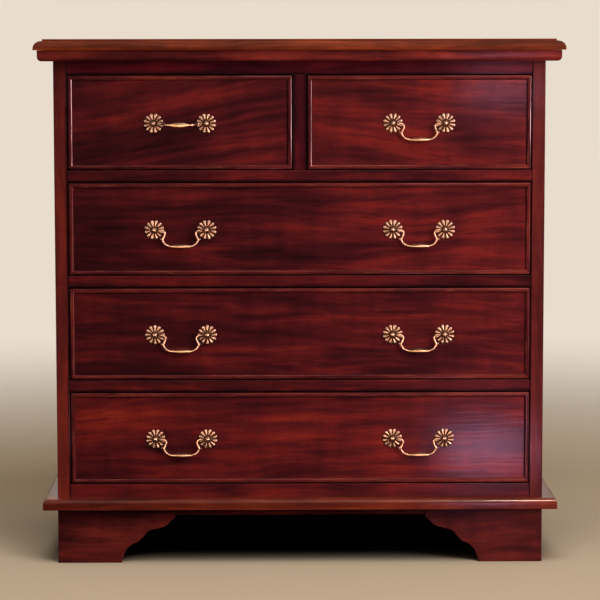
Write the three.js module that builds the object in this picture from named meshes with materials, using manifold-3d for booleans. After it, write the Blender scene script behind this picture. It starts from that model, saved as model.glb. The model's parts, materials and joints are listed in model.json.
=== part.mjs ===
// Chest of drawers: two short drawers over three long ones, on shaped bracket feet.
// Lengths are millimetres, +Z is up and the front faces -Y.
// Pieces are set out from the front plane of the case (y = 0, backwards positive), its
// middle (x = 0) and the floor (z = 0). At the end the whole chest moves along y, so that
// the origin lies on the floor under the middle of its overall box.

import * as THREE from "three";
import { mergeVertices } from "three/addons/utils/BufferGeometryUtils.js";
import Module from "manifold-3d";

const wasm = await Module();
wasm.setup();

// Case
const caseWidth = 895;
const caseDepth = 450;
const sideThickness = 24;
const dividerThickness = 25;

// Heights, from the floor up
const footHeight = 103;
const baseMouldingHeight = 20;
const bottomRailFace = 24.4;
const longOpeningHeight = 171.5;
const railHeight = 21.5;
const shortOpeningHeight = 174;
const topRailFace = 24.1;
const topMouldingHeight = 20;
const topBoardThickness = 20;
const longDrawerNames = ["lower", "middle", "upper"];

// Clearances
const glueLine = 0.2;
const runningGap = 0.3;
const drawerGap = 1.5;
const overrun = 5;

// Top board, its edge an ovolo under a fillet
const topOverhang = 33.5;
const topFilletHeight = 3.3;
const topLedgeWidth = 1.7;
const topOvoloRadius = 14;
const topOvoloSteps = 6;

// Moulding under the top board, its lower edge rounded
const topMouldingReach = 26.7;
const topMouldingRound = 8;

// Moulding round the base, its upper edge rounded
const baseMouldingReach = 25.5;
const baseMouldingRound = 9;
const mouldingRoundSteps = 5;

// Rails, runner frames and their housings in the sides
const railDepth = 60;
const tongueThickness = 12;
const tongueLength = 6;
const tongueSetback = 15;
const runnerWidth = 40;
const centreRunnerWidth = 90;
const dustPanelThickness = 8;
const bottomBoardThickness = 20;
const baseStripDrop = 14;
const baseStripSetback = 3;
const baseStripThickness = 21;

// Drawer stops, on the rails behind the drawer fronts
const stopWidth = 50;
const stopDepth = 25;
const stopHeadroom = 2;
const stopInset = 70;

// Back panel of grooved boards, let into rebates
const backThickness = 9;
const backRebateWidth = 12;
const backBoardCount = 6;
const backGrooveWidth = 5;
const backGrooveDepth = 2.5;

// Drawer fronts, a sunk field inside a raised bead
const frontThickness = 21;
const fieldSetback = 1;
const beadWidth = 8.5;
const beadProud = 2.5;
const beadSteps = 6;

// Drawer boxes
const drawerSideThickness = 10;
const drawerBackThickness = 10;
const drawerTopClearance = 3;
const drawerEndClearance = 14;
const drawerBottomThickness = 6;
const drawerBottomRise = 8;
const sideGrooveDepth = 4;
const frontGrooveDepth = 6;

// Dovetails between a drawer's sides and its front
const tailCount = 4;
const tailLength = 14;
const tailSlopeShare = 1 / 7;
const tailWidthShare = 0.7;

// Bracket feet: width at the top and at the floor, on the front and along the sides
const frontBracketWidth = 216.5;
const frontBracketFloorWidth = 117.5;
const sideBracketWidth = 150;
const sideBracketFloorWidth = 84;
const rearBracketWidth = 120;
const rearBracketFloorWidth = 70;
const bracketThickness = 24;
const rearBracketThickness = 20;
const footBlockWidth = 52;
const footBlockLift = 2;
const bracketCurveSteps = 20;

// The bracket's inner edge, from the floor up: share of the way from its floor width
// to its top width, and share of the foot's height
const bracketEdgeShares = [
  [0, 0],
  [0.02, 0.1],
  [0.07, 0.215],
  [0.165, 0.318],
  [0.3, 0.38],
  [0.4, 0.47],
  [0.5, 0.575],
  [0.67, 0.618],
  [0.82, 0.668],
  [0.92, 0.76],
  [1, 0.83],
];

// Handles
const handleBore = 96;
const handleDrop = 1.5;
const raisedBailAngle = THREE.MathUtils.degToRad(86);

// Rosettes: petals that fade into a hub, a collar, a knob, and a threaded shank with a nut
const petalCount = 12;
const petalRadius = 18.2;
const grooveRadius = 16.4;
const petalHeight = 2.2;
const grooveHeight = 0.8;
const hubRadius = 6.4;
const hubHeight = 3;
const petalShares = [0.28, 0.72];
const collarRadius = 5.2;
const collarHeight = 3.8;
const knobRadius = 4.75;
const knobSteps = 4;
const postSides = 8;
const boreSides = 6;
const pivotStandoff = 7;
const shankRadius = 2.3;
const shankClearance = 0.5;
const nutRadius = 4.6;
const nutThickness = 3;
const nutSides = 6;
const shankEnd = 1.5;

// Bails: a pin at each end, a swan neck with a spur, and a grip that swells
const bailDrop = 30;
const pinRadius = 1.6;
const pinClearance = 0.5;
const neckRadius = 1.75;
const gripRadius = 3.2;
const gripDepth = 5;
const spurLength = 6;
const spurRootRadius = 1.5;
const spurTipRadius = 0.4;
const bailSides = 8;
const spurSides = 5;
const neckSteps = 7;
const gripSteps = 4;

// The swan neck after the pin, inwards from the rosette's middle and down from the
// pivot, as shares of the bail's drop
const neckShares = [
  [0.4, 0],
  [0.55, 0.035],
  [0.66, 0.17],
  [0.62, 0.36],
  [0.515, 0.58],
  [0.57, 0.72],
  [0.72, 0.89],
  [1, 1],
];
const spurStartShares = [0.54, 0.6];
const spurRise = THREE.MathUtils.degToRad(17);

// Finishes
const finishes = {
  mahogany: { color: 0x5a1712, roughness: 0.3, metalness: 0 },
  oak: { color: 0xa9804f, roughness: 0.7, metalness: 0 },
  pine: { color: 0xb88d58, roughness: 0.75, metalness: 0 },
  brass: { color: 0xc99a5b, roughness: 0.35, metalness: 0.9 },
};

// Levels and widths that follow from the sizes above
const halfCase = caseWidth / 2;
const innerHalf = halfCase - sideThickness;
const baseMouldingTop = footHeight + baseMouldingHeight;
const bottomRailTop = baseMouldingTop + bottomRailFace;
const storeyHeight = longOpeningHeight + railHeight;
const shortFloor = bottomRailTop + longDrawerNames.length * storeyHeight;
const shortCeiling = shortFloor + shortOpeningHeight;
const topMouldingBottom = shortCeiling + topRailFace;
const caseTop = topMouldingBottom + topMouldingHeight;
const overallTop = caseTop + topBoardThickness;
const backPlane = caseDepth - backThickness;
const shortOpeningWidth = innerHalf - dividerThickness / 2;
const shortMiddle = (innerHalf + dividerThickness / 2) / 2;
const frontBack = fieldSetback + frontThickness;
const boxEnd = backPlane - drawerEndClearance;
const pivotSetback = fieldSetback - glueLine - pivotStandoff;

// Middle heights of the tongues that lodge each level of the case in the sides
const bottomTongue = bottomRailTop - bottomBoardThickness / 2;
const railTongues = longDrawerNames.map((name, index) => {
  return bottomRailTop + (index + 1) * storeyHeight - railHeight / 2;
});
const topTongue = shortCeiling + railHeight / 2;

// Middles of the drawer stops along the rails
const longStops = [stopInset - innerHalf, innerHalf - stopInset];
const shortStops = [-1, 1].flatMap((hand) => {
  const spread = shortOpeningWidth / 2 - stopInset;
  return [hand * shortMiddle - spread, hand * shortMiddle + spread];
});

// Solids and how they are cut and joined

function toManifold(geometry) {
  const bare = geometry.clone();
  bare.deleteAttribute("normal");
  bare.deleteAttribute("uv");
  const welded = mergeVertices(bare);
  const corners = welded.index.array;
  const triVerts = [];
  for (let index = 0; index < corners.length; index += 3) {
    const [a, b, c] = corners.slice(index, index + 3);
    if (a !== b && b !== c && c !== a) triVerts.push(a, b, c);
  }
  return new wasm.Manifold(new wasm.Mesh({
    numProp: 3,
    vertProperties: new Float32Array(welded.attributes.position.array),
    triVerts: new Uint32Array(triVerts),
  }));
}

function toGeometry(manifold) {
  const mesh = manifold.getMesh();
  const geometry = new THREE.BufferGeometry();
  geometry.setAttribute("position", new THREE.BufferAttribute(mesh.vertProperties, 3));
  geometry.setIndex(new THREE.BufferAttribute(mesh.triVerts, 1));
  return geometry;
}

function join(first, ...others) {
  const start = toManifold(first);
  return toGeometry(others.reduce((whole, piece) => whole.add(toManifold(piece)), start));
}

function cut(body, ...tools) {
  const start = toManifold(body);
  return toGeometry(tools.reduce((rest, tool) => rest.subtract(toManifold(tool)), start));
}

function block([x0, x1], [y0, y1], [z0, z1]) {
  const box = new THREE.BoxGeometry(Math.abs(x1 - x0), Math.abs(y1 - y0), Math.abs(z1 - z0));
  return box.translate((x0 + x1) / 2, (y0 + y1) / 2, (z0 + z1) / 2);
}

// A flat outline made thick. Its points are [y, z] along x, [x, z] along y and [x, y]
// along z.
function slab(outline, axis, from, to) {
  const shape = new THREE.Shape(outline.map(([u, v]) => new THREE.Vector2(u, v)));
  const geometry = new THREE.ExtrudeGeometry(shape, { depth: to - from, bevelEnabled: false });
  geometry.translate(0, 0, axis === "y" ? -to : from);
  const turns = {
    x: new THREE.Matrix4().set(0, 0, 1, 0, 1, 0, 0, 0, 0, 1, 0, 0, 0, 0, 0, 1),
    y: new THREE.Matrix4().set(1, 0, 0, 0, 0, 0, -1, 0, 0, 1, 0, 0, 0, 0, 0, 1),
    z: new THREE.Matrix4(),
  };
  return geometry.applyMatrix4(turns[axis]);
}

function rodAlongY(radius, sides, from, to) {
  const geometry = new THREE.CylinderGeometry(radius, radius, Math.abs(to - from), sides);
  return geometry.translate(0, (from + to) / 2, 0);
}

function rodAlongX(radius, sides, from, to) {
  const turn = new THREE.Matrix4().set(0, 1, 0, 0, 0, 0, 1, 0, 1, 0, 0, 0, 0, 0, 0, 1);
  return rodAlongY(radius, sides, from, to).applyMatrix4(turn);
}

// The triangles that fill an outline, turning the same way as its points.
function capOf(outline) {
  const points = outline.map(([u, v]) => new THREE.Vector2(u, v));
  const isForward = THREE.ShapeUtils.area(points) > 0;
  return THREE.ShapeUtils.triangulateShape(points, []).map((triangle) => {
    const isTurned = THREE.ShapeUtils.area(triangle.map((corner) => points[corner])) > 0;
    return isTurned === isForward ? triangle : triangle.toReversed();
  });
}

// A closed skin over rings of points that follow one another from end to end. Each cap
// lists its triangles by the points of one ring.
function skin(rings, startCap, endCap = startCap) {
  const count = rings[0].length;
  const last = (rings.length - 1) * count;
  const corners = [];
  for (let ring = 0; ring < last; ring += count) {
    for (let index = 0; index < count; index++) {
      const near = ring + index;
      const next = ring + (index + 1) % count;
      corners.push(near, next, next + count, near, next + count, near + count);
    }
  }
  startCap.forEach(([a, b, c]) => corners.push(a, c, b));
  endCap.forEach(([a, b, c]) => corners.push(last + a, last + b, last + c));
  const geometry = new THREE.BufferGeometry();
  const points = rings.flat().flatMap((point) => point.toArray());
  geometry.setAttribute("position", new THREE.Float32BufferAttribute(points, 3));
  geometry.setIndex(signedVolume(points, corners) < 0 ? corners.reverse() : corners);
  return geometry;
}

function signedVolume(points, corners) {
  const at = (corner) => new THREE.Vector3().fromArray(points, corner * 3);
  let volume = 0;
  for (let index = 0; index < corners.length; index += 3) {
    const [a, b, c] = corners.slice(index, index + 3).map(at);
    volume += a.dot(b.cross(c)) / 6;
  }
  return volume;
}

function arc(centreU, centreV, radiusU, radiusV, startTurn, endTurn, steps) {
  return Array.from({ length: steps + 1 }, (_, index) => {
    const turn = 2 * Math.PI * THREE.MathUtils.lerp(startTurn, endTurn, index / steps);
    return [centreU + radiusU * Math.cos(turn), centreV + radiusV * Math.sin(turn)];
  });
}

const chest = new THREE.Group();

function addPiece(parent, name, geometry, finish) {
  const material = new THREE.MeshStandardMaterial({ ...finishes[finish], flatShading: true });
  const piece = new THREE.Mesh(geometry, material);
  piece.name = name;
  parent.add(piece);
  return piece;
}

// Top board

function topBoardGeometry() {
  const ovoloBottom = overallTop - topFilletHeight - topOvoloRadius;
  const ovoloReach = topOverhang - topOvoloRadius;
  const edge = [
    [topOverhang, caseTop],
    ...arc(ovoloReach, ovoloBottom, topOvoloRadius, topOvoloRadius, 0, 0.25, topOvoloSteps),
    [ovoloReach - topLedgeWidth, overallTop - topFilletHeight],
    [ovoloReach - topLedgeWidth, overallTop],
  ];
  const rings = edge.map(([reach, z]) => [
    new THREE.Vector3(-halfCase - reach, -reach, z),
    new THREE.Vector3(halfCase + reach, -reach, z),
    new THREE.Vector3(halfCase + reach, caseDepth, z),
    new THREE.Vector3(-halfCase - reach, caseDepth, z),
  ]);
  return skin(rings, [[0, 1, 2], [0, 2, 3]]);
}

// Mouldings, mitred round the front and both sides. A section's points are its reach
// out from the case and its height.

function mouldingGeometry(section) {
  const rings = [
    section.map(([reach, z]) => new THREE.Vector3(-halfCase - reach, caseDepth, z)),
    section.map(([reach, z]) => new THREE.Vector3(-halfCase - reach, -reach, z)),
    section.map(([reach, z]) => new THREE.Vector3(halfCase + reach, -reach, z)),
    section.map(([reach, z]) => new THREE.Vector3(halfCase + reach, caseDepth, z)),
  ];
  return skin(rings, capOf(section));
}

function topMouldingGeometry() {
  const round = topMouldingRound;
  const roundReach = topMouldingReach - round;
  return mouldingGeometry([
    [glueLine, topMouldingBottom],
    ...arc(roundReach, topMouldingBottom + round, round, round, -0.25, 0, mouldingRoundSteps),
    [topMouldingReach, caseTop - glueLine],
    [glueLine, caseTop - glueLine],
  ]);
}

function baseMouldingGeometry() {
  const round = baseMouldingRound;
  const roundReach = baseMouldingReach - round;
  return mouldingGeometry([
    [glueLine, footHeight],
    [baseMouldingReach, footHeight],
    ...arc(roundReach, baseMouldingTop - round, round, round, 0, 0.25, mouldingRoundSteps),
    [glueLine, baseMouldingTop],
  ]);
}

// Sides, with a stopped housing for each level and a rebate for the back

function sideGeometry(hand) {
  const housingDepth = tongueLength + glueLine;
  const housingHalf = tongueThickness / 2 + glueLine;
  const housings = [bottomTongue, ...railTongues, topTongue].map((middle) => block(
    [hand * (innerHalf - overrun), hand * (innerHalf + housingDepth)],
    [tongueSetback - glueLine, caseDepth + overrun],
    [middle - housingHalf, middle + housingHalf],
  ));
  const rebate = block(
    [hand * (innerHalf - overrun), hand * (innerHalf + backRebateWidth)],
    [backPlane - glueLine, caseDepth + overrun],
    [footHeight - overrun, caseTop + overrun],
  );
  const board = block(
    [hand * innerHalf, hand * halfCase],
    [0, caseDepth],
    [footHeight, caseTop - glueLine],
  );
  return cut(board, rebate, ...housings);
}

// Back panel, its outer face grooved between the boards

function backGeometry() {
  const half = innerHalf + backRebateWidth - glueLine;
  const boardWidth = 2 * half / backBoardCount;
  const outline = [[-half, backPlane], [half, backPlane], [half, caseDepth]];
  for (let board = backBoardCount - 1; board > 0; board--) {
    const middle = board * boardWidth - half;
    outline.push([middle + backGrooveWidth / 2, caseDepth]);
    outline.push([middle, caseDepth - backGrooveDepth]);
    outline.push([middle - backGrooveWidth / 2, caseDepth]);
  }
  outline.push([-half, caseDepth]);
  return slab(outline, "z", footHeight, caseTop - glueLine);
}

// Rails, tenoned into the sides, with the stops of the drawers above them

function railGeometry(bottom, top, tongueMiddle, stopMiddles) {
  const rail = block([glueLine - innerHalf, innerHalf - glueLine], [0, railDepth], [bottom, top]);
  const tenon = block(
    [-innerHalf - tongueLength, innerHalf + tongueLength],
    [tongueSetback, railDepth],
    [tongueMiddle - tongueThickness / 2, tongueMiddle + tongueThickness / 2],
  );
  const stopTop = top + runningGap + drawerBottomRise - stopHeadroom;
  const stops = stopMiddles.map((middle) => block(
    [middle - stopWidth / 2, middle + stopWidth / 2],
    [frontBack + runningGap, frontBack + runningGap + stopDepth],
    [tongueMiddle, stopTop],
  ));
  return join(rail, tenon, ...stops);
}

function bottomRailGeometry() {
  const rail = railGeometry(footHeight, bottomRailTop, bottomTongue, longStops);
  const stripHalf = halfCase - frontBracketWidth - glueLine;
  const strip = block(
    [-stripHalf, stripHalf],
    [baseStripSetback, baseStripSetback + baseStripThickness],
    [footHeight - baseStripDrop, bottomTongue],
  );
  return join(rail, strip);
}

// Runner frames behind the rails, each with a thin dust panel between its runners

function tonguesGeometry(middle) {
  return [-1, 1].map((hand) => block(
    [hand * (innerHalf - runnerWidth / 2), hand * (innerHalf + tongueLength)],
    [railDepth + glueLine, backPlane - glueLine],
    [middle - tongueThickness / 2, middle + tongueThickness / 2],
  ));
}

function runnerFrameGeometry(middle, centreRunner) {
  const length = [railDepth + glueLine, backPlane - glueLine];
  const height = [middle - railHeight / 2, middle + railHeight / 2];
  const panel = block(
    [runnerWidth / 2 - innerHalf, innerHalf - runnerWidth / 2],
    length,
    [middle - dustPanelThickness / 2, middle + dustPanelThickness / 2],
  );
  const runners = [-1, 1].map((hand) => block(
    [hand * (innerHalf - runnerWidth), hand * (innerHalf - glueLine)],
    length,
    height,
  ));
  if (centreRunner) {
    runners.push(block([-centreRunnerWidth / 2, centreRunnerWidth / 2], length, height));
  }
  return join(panel, ...runners, ...tonguesGeometry(middle));
}

function bottomBoardGeometry() {
  const board = block(
    [glueLine - innerHalf, innerHalf - glueLine],
    [railDepth + glueLine, backPlane - glueLine],
    [bottomRailTop - bottomBoardThickness, bottomRailTop],
  );
  return join(board, ...tonguesGeometry(bottomTongue));
}

function dividerGeometry() {
  return block(
    [-dividerThickness / 2, dividerThickness / 2],
    [0, backPlane - glueLine],
    [shortFloor + glueLine, shortCeiling - glueLine],
  );
}

// Bracket feet. An outline's points are the distance in from the foot's corner and the
// height. Each foot joins two brackets and a corner block.

function shapedBracket(width, floorWidth) {
  const curve = new THREE.SplineCurve(bracketEdgeShares.map(([widthShare, heightShare]) => {
    const reach = THREE.MathUtils.lerp(floorWidth, width, widthShare);
    return new THREE.Vector2(reach, heightShare * footHeight);
  }));
  const edge = curve.getPoints(bracketCurveSteps).map((point) => point.toArray());
  return [[0, 0], ...edge, [width, footHeight - glueLine], [0, footHeight - glueLine]];
}

function plainBracket(width, floorWidth) {
  const top = footHeight - glueLine;
  return [[0, 0], [floorWidth, 0], [width, top - baseStripDrop], [width, top], [0, top]];
}

function footGeometry(handX, atFront) {
  const inX = (reach) => handX * (halfCase - reach);
  const inY = (reach) => (atFront ? reach : caseDepth - reach);
  const alongX = (outline, thickness) => {
    const placed = outline.map(([reach, z]) => [inX(reach), z]);
    const faces = [inY(0), inY(thickness)].sort((a, b) => a - b);
    return slab(placed, "y", ...faces);
  };
  const alongY = (outline, thickness) => {
    const placed = outline.map(([reach, z]) => [inY(reach), z]);
    const faces = [inX(0), inX(thickness)].sort((a, b) => a - b);
    return slab(placed, "x", ...faces);
  };
  const face = atFront
    ? alongX(shapedBracket(frontBracketWidth, frontBracketFloorWidth), bracketThickness)
    : alongX(plainBracket(rearBracketWidth, rearBracketFloorWidth), rearBracketThickness);
  const side = alongY(shapedBracket(sideBracketWidth, sideBracketFloorWidth), bracketThickness);
  const cornerBlock = block(
    [inX(bracketThickness / 2), inX(footBlockWidth)],
    [inY(rearBracketThickness / 2), inY(footBlockWidth)],
    [footBlockLift, footHeight - glueLine],
  );
  return join(face, side, cornerBlock);
}

// Drawers. Each is laid out from the middle of its opening's floor.

const rectangleCap = [[0, 1, 2], [0, 2, 3]];

// Tails flare from the front's back face towards their tips.
function tailOutline(middle, pitch, swell, root, tip) {
  const halfAt = (y) => pitch * tailWidthShare / 2 + (frontBack - y) * tailSlopeShare + swell;
  return [
    [root, middle + halfAt(root)],
    [tip, middle + halfAt(tip)],
    [tip, middle - halfAt(tip)],
    [root, middle - halfAt(root)],
  ];
}

function tailMiddles(openingHeight) {
  const sideHeight = openingHeight - drawerTopClearance - runningGap;
  const pitch = sideHeight / tailCount;
  const middles = Array.from({ length: tailCount }, (_, tail) => {
    return runningGap + (tailCount - tail - 0.5) * pitch;
  });
  return { pitch, middles };
}

function bottomGroove(width) {
  const half = width / 2 - drawerSideThickness + sideGrooveDepth;
  const floor = runningGap + drawerBottomRise;
  return block(
    [-half, half],
    [frontBack - frontGrooveDepth, boxEnd + overrun],
    [floor - glueLine, floor + drawerBottomThickness + glueLine],
  );
}

function drawerFrontGeometry(width, openingHeight, handleMiddles) {
  const half = width / 2;
  const top = openingHeight - drawerGap;
  const beadRise = beadProud + fieldSetback;
  const bead = arc(beadWidth / 2, fieldSetback, beadWidth / 2, beadRise, 0.5, 1, beadSteps);
  const rings = [[0, frontBack], ...bead].map(([inset, y]) => [
    new THREE.Vector3(inset - half, y, drawerGap + inset),
    new THREE.Vector3(half - inset, y, drawerGap + inset),
    new THREE.Vector3(half - inset, y, top - inset),
    new THREE.Vector3(inset - half, y, top - inset),
  ]);
  const { pitch, middles } = tailMiddles(openingHeight);
  const socketDepth = drawerSideThickness + glueLine;
  const sockets = middles.flatMap((middle) => {
    const socket = tailOutline(middle, pitch, glueLine, frontBack + overrun, frontBack - tailLength);
    return [
      slab(socket, "x", -half - overrun, socketDepth - half),
      slab(socket, "x", half - socketDepth, half + overrun),
    ];
  });
  const holes = handleMiddles.flatMap((middle) => [-1, 1].map((hand) => {
    const radius = shankRadius + shankClearance;
    const hole = rodAlongY(radius, nutSides, -overrun, frontBack + overrun);
    const height = openingHeight / 2 - handleDrop;
    return hole.translate(middle + hand * handleBore / 2, 0, height);
  }));
  return cut(skin(rings, rectangleCap), bottomGroove(width), ...sockets, ...holes);
}

function drawerBoxGeometry(width, openingHeight) {
  const half = width / 2;
  const top = openingHeight - drawerTopClearance;
  const shoulder = frontBack + glueLine;
  const { pitch, middles } = tailMiddles(openingHeight);
  const tip = frontBack - tailLength + glueLine;
  const tails = middles.flatMap((middle) => tailOutline(middle, pitch, 0, shoulder, tip));
  const outline = [[boxEnd, runningGap], [boxEnd, top], [shoulder, top], ...tails,
    [shoulder, runningGap]];
  const sides = [
    slab(outline, "x", -half, drawerSideThickness - half),
    slab(outline, "x", half - drawerSideThickness, half),
  ];
  const backBottom = runningGap + drawerBottomRise + drawerBottomThickness + glueLine;
  const back = block(
    [drawerSideThickness / 2 - half, half - drawerSideThickness / 2],
    [boxEnd - drawerBackThickness, boxEnd],
    [backBottom, top],
  );
  return cut(join(back, ...sides), bottomGroove(width));
}

function drawerBottomGeometry(width) {
  const half = width / 2 - drawerSideThickness + sideGrooveDepth - glueLine;
  const floor = runningGap + drawerBottomRise;
  return block(
    [-half, half],
    [frontBack - frontGrooveDepth + glueLine, boxEnd],
    [floor, floor + drawerBottomThickness],
  );
}

// Rosettes face -Y, with the plate's back at y = 0. "Toward" is the side of the bail.

// Each petal takes a point in the groove before it and one at either side of its crest.
function petalRing(groove, crest) {
  const columns = [[0, groove], ...petalShares.map((share) => [share, crest])];
  return Array.from({ length: petalCount }, (_, petal) => columns.map((column) => {
    const [share, { radius, height }] = column;
    const turn = 2 * Math.PI * (petal + share) / petalCount;
    return new THREE.Vector3(radius * Math.sin(turn), -height, radius * Math.cos(turn));
  })).flat();
}

function rosetteGeometry(toward) {
  const hub = { radius: hubRadius, height: hubHeight };
  const rings = [
    petalRing({ radius: grooveRadius, height: 0 }, { radius: petalRadius, height: 0 }),
    petalRing(
      { radius: grooveRadius, height: grooveHeight },
      { radius: petalRadius, height: petalHeight },
    ),
    petalRing(hub, hub),
  ];
  const petals = skin(rings, capOf(rings[0].map((point) => [point.x, point.z])));
  const knob = arc(0, pivotStandoff, knobRadius, knobRadius, -0.125, 0.25, knobSteps);
  const profile = [[0, hubHeight / 2], [collarRadius, hubHeight / 2],
    [collarRadius, collarHeight], ...knob.slice(0, -1), [0, pivotStandoff + knobRadius]];
  const turned = profile.map(([radius, height]) => new THREE.Vector2(radius, height));
  const post = new THREE.LatheGeometry(turned, postSides);
  post.rotateX(Math.PI);
  const nutFace = glueLine + frontThickness + glueLine;
  const shankTip = nutFace + nutThickness + shankEnd;
  const shank = rodAlongY(shankRadius, nutSides, -hubHeight / 2, shankTip);
  const nut = rodAlongY(nutRadius, nutSides, nutFace, nutFace + nutThickness);
  const bore = rodAlongX(
    pinRadius + pinClearance, boreSides, -toward * pinRadius, toward * (knobRadius + overrun),
  );
  bore.translate(0, -pivotStandoff, 0);
  return cut(join(petals, post, shank, nut), bore);
}

// Bails hang in the plane y = 0 from the pivot, with the handle's middle at x = 0.

function sectionRing(centre, tangent, inPlane, across, sides = bailSides) {
  return Array.from({ length: sides }, (_, index) => {
    const turn = 2 * Math.PI * (index + 0.5) / sides;
    const offset = inPlane * Math.cos(turn);
    return new THREE.Vector3(
      centre.x - tangent.y * offset,
      across * Math.sin(turn),
      centre.y + tangent.x * offset,
    );
  });
}

function bailGeometry() {
  const start = -handleBore / 2;
  const swan = [[0, 0], ...neckShares.map(([x, z]) => [x * bailDrop, z * bailDrop])];
  const neck = new THREE.SplineCurve(swan.map(([x, z]) => new THREE.Vector2(start + x, -z)));
  const stations = Array.from({ length: neckSteps + 1 }, (_, index) => {
    const share = index / neckSteps;
    const radius = THREE.MathUtils.lerp(pinRadius, neckRadius, share);
    return { centre: neck.getPoint(share), tangent: neck.getTangent(share), radius };
  });
  const left = stations.map(({ centre, tangent, radius }) => {
    return sectionRing(centre, tangent, radius, radius);
  });
  const right = stations.toReversed().map(({ centre, tangent, radius }) => {
    const mirrored = new THREE.Vector2(-centre.x, centre.y);
    return sectionRing(mirrored, new THREE.Vector2(tangent.x, -tangent.y), radius, radius);
  });
  const gripStart = start + bailDrop;
  const grip = Array.from({ length: gripSteps - 1 }, (_, index) => {
    const share = (index + 1) / gripSteps;
    const swell = Math.sin(Math.PI * share);
    return sectionRing(
      new THREE.Vector2(THREE.MathUtils.lerp(gripStart, -gripStart, share), -bailDrop),
      new THREE.Vector2(1, 0),
      THREE.MathUtils.lerp(neckRadius, gripRadius, swell),
      THREE.MathUtils.lerp(neckRadius, gripDepth, swell),
    );
  });
  const rings = [...left, ...grip, ...right];
  const cap = capOf(rings[0].map((point) => [point.y, point.z]));
  return join(skin(rings, cap), spurGeometry(-1), spurGeometry(1));
}

function spurGeometry(hand) {
  const [startShare, dropShare] = spurStartShares;
  const reach = handleBore / 2 - startShare * bailDrop;
  const root = new THREE.Vector2(hand * reach, -dropShare * bailDrop);
  const heading = new THREE.Vector2(hand * Math.cos(spurRise), Math.sin(spurRise));
  const tip = root.clone().addScaledVector(heading, spurLength);
  const rings = [
    sectionRing(root, heading, spurRootRadius, spurRootRadius, spurSides),
    sectionRing(tip, heading, spurTipRadius, spurTipRadius, spurSides),
  ];
  return skin(rings, capOf(rings[0].map((point) => [point.y, point.z])));
}

function addHandle(parent, name, middle, height, bailAngle) {
  const handle = new THREE.Group();
  handle.position.set(middle, pivotSetback, height);
  parent.add(handle);
  [["left", -1], ["right", 1]].forEach(([side, hand]) => {
    const rosette = addPiece(handle, `${name}_rosette_${side}`, rosetteGeometry(-hand), "brass");
    rosette.position.set(hand * handleBore / 2, pivotStandoff, 0);
  });
  const bail = addPiece(handle, `${name}_bail`, bailGeometry(), "brass");
  bail.rotation.x = -bailAngle;
}

function addDrawer(name, middle, floor, openingWidth, openingHeight, handles) {
  const drawer = new THREE.Group();
  drawer.position.set(middle, 0, floor);
  chest.add(drawer);
  const width = openingWidth - 2 * drawerGap;
  const handleMiddles = handles.map((handle) => handle.middle);
  const front = drawerFrontGeometry(width, openingHeight, handleMiddles);
  addPiece(drawer, `${name}_drawer_front`, front, "mahogany");
  addPiece(drawer, `${name}_drawer_box`, drawerBoxGeometry(width, openingHeight), "oak");
  addPiece(drawer, `${name}_drawer_bottom`, drawerBottomGeometry(width), "oak");
  handles.forEach((handle) => addHandle(
    drawer, handle.name, handle.middle, openingHeight / 2 - handleDrop, handle.angle,
  ));
}

// The whole chest

addPiece(chest, "top_board", topBoardGeometry(), "mahogany");
addPiece(chest, "top_moulding", topMouldingGeometry(), "mahogany");
addPiece(chest, "base_moulding", baseMouldingGeometry(), "mahogany");
addPiece(chest, "side_left", sideGeometry(-1), "mahogany");
addPiece(chest, "side_right", sideGeometry(1), "mahogany");
addPiece(chest, "back_panel", backGeometry(), "pine");

const topRail = railGeometry(shortCeiling, caseTop - glueLine, topTongue, []);
addPiece(chest, "top_rail", topRail, "mahogany");
addPiece(chest, "top_dust_board", runnerFrameGeometry(topTongue, true), "pine");
longDrawerNames.forEach((name, index) => {
  const isUpper = index === longDrawerNames.length - 1;
  const middle = railTongues[index];
  const stops = isUpper ? shortStops : longStops;
  const rail = railGeometry(middle - railHeight / 2, middle + railHeight / 2, middle, stops);
  addPiece(chest, `${name}_rail`, rail, "mahogany");
  addPiece(chest, `${name}_dust_board`, runnerFrameGeometry(middle, isUpper), "pine");
});
addPiece(chest, "bottom_rail", bottomRailGeometry(), "mahogany");
addPiece(chest, "bottom_board", bottomBoardGeometry(), "pine");
addPiece(chest, "drawer_divider", dividerGeometry(), "mahogany");

addPiece(chest, "foot_front_left", footGeometry(-1, true), "mahogany");
addPiece(chest, "foot_front_right", footGeometry(1, true), "mahogany");
addPiece(chest, "foot_back_left", footGeometry(-1, false), "mahogany");
addPiece(chest, "foot_back_right", footGeometry(1, false), "mahogany");

[["left", -1], ["right", 1]].forEach(([side, hand]) => {
  const angle = side === "left" ? raisedBailAngle : 0;
  const handles = [{ name: `short_${side}`, middle: 0, angle }];
  addDrawer(
    `short_${side}`, hand * shortMiddle, shortFloor, shortOpeningWidth, shortOpeningHeight, handles,
  );
});
longDrawerNames.forEach((name, index) => {
  const floor = bottomRailTop + index * storeyHeight;
  const handles = [
    { name: `${name}_left`, middle: -shortMiddle, angle: 0 },
    { name: `${name}_right`, middle: shortMiddle, angle: 0 },
  ];
  addDrawer(name, 0, floor, 2 * innerHalf, longOpeningHeight, handles);
});

const bounds = new THREE.Box3().setFromObject(chest, true);
chest.position.y = -(bounds.min.y + bounds.max.y) / 2;

export default chest;
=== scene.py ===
"""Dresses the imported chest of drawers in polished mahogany, bare oak and pine, and aged brass.

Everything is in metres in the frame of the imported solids: +Z is up and the drawers face -Y.
Sizes below are in millimetres, and MM turns them to metres.
"""

from __future__ import annotations

import json
import logging
import math
from dataclasses import dataclass, replace
from enum import Enum
from typing import Callable, Optional, Sequence

import bmesh
import bpy
from mathutils import Matrix, Vector

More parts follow.
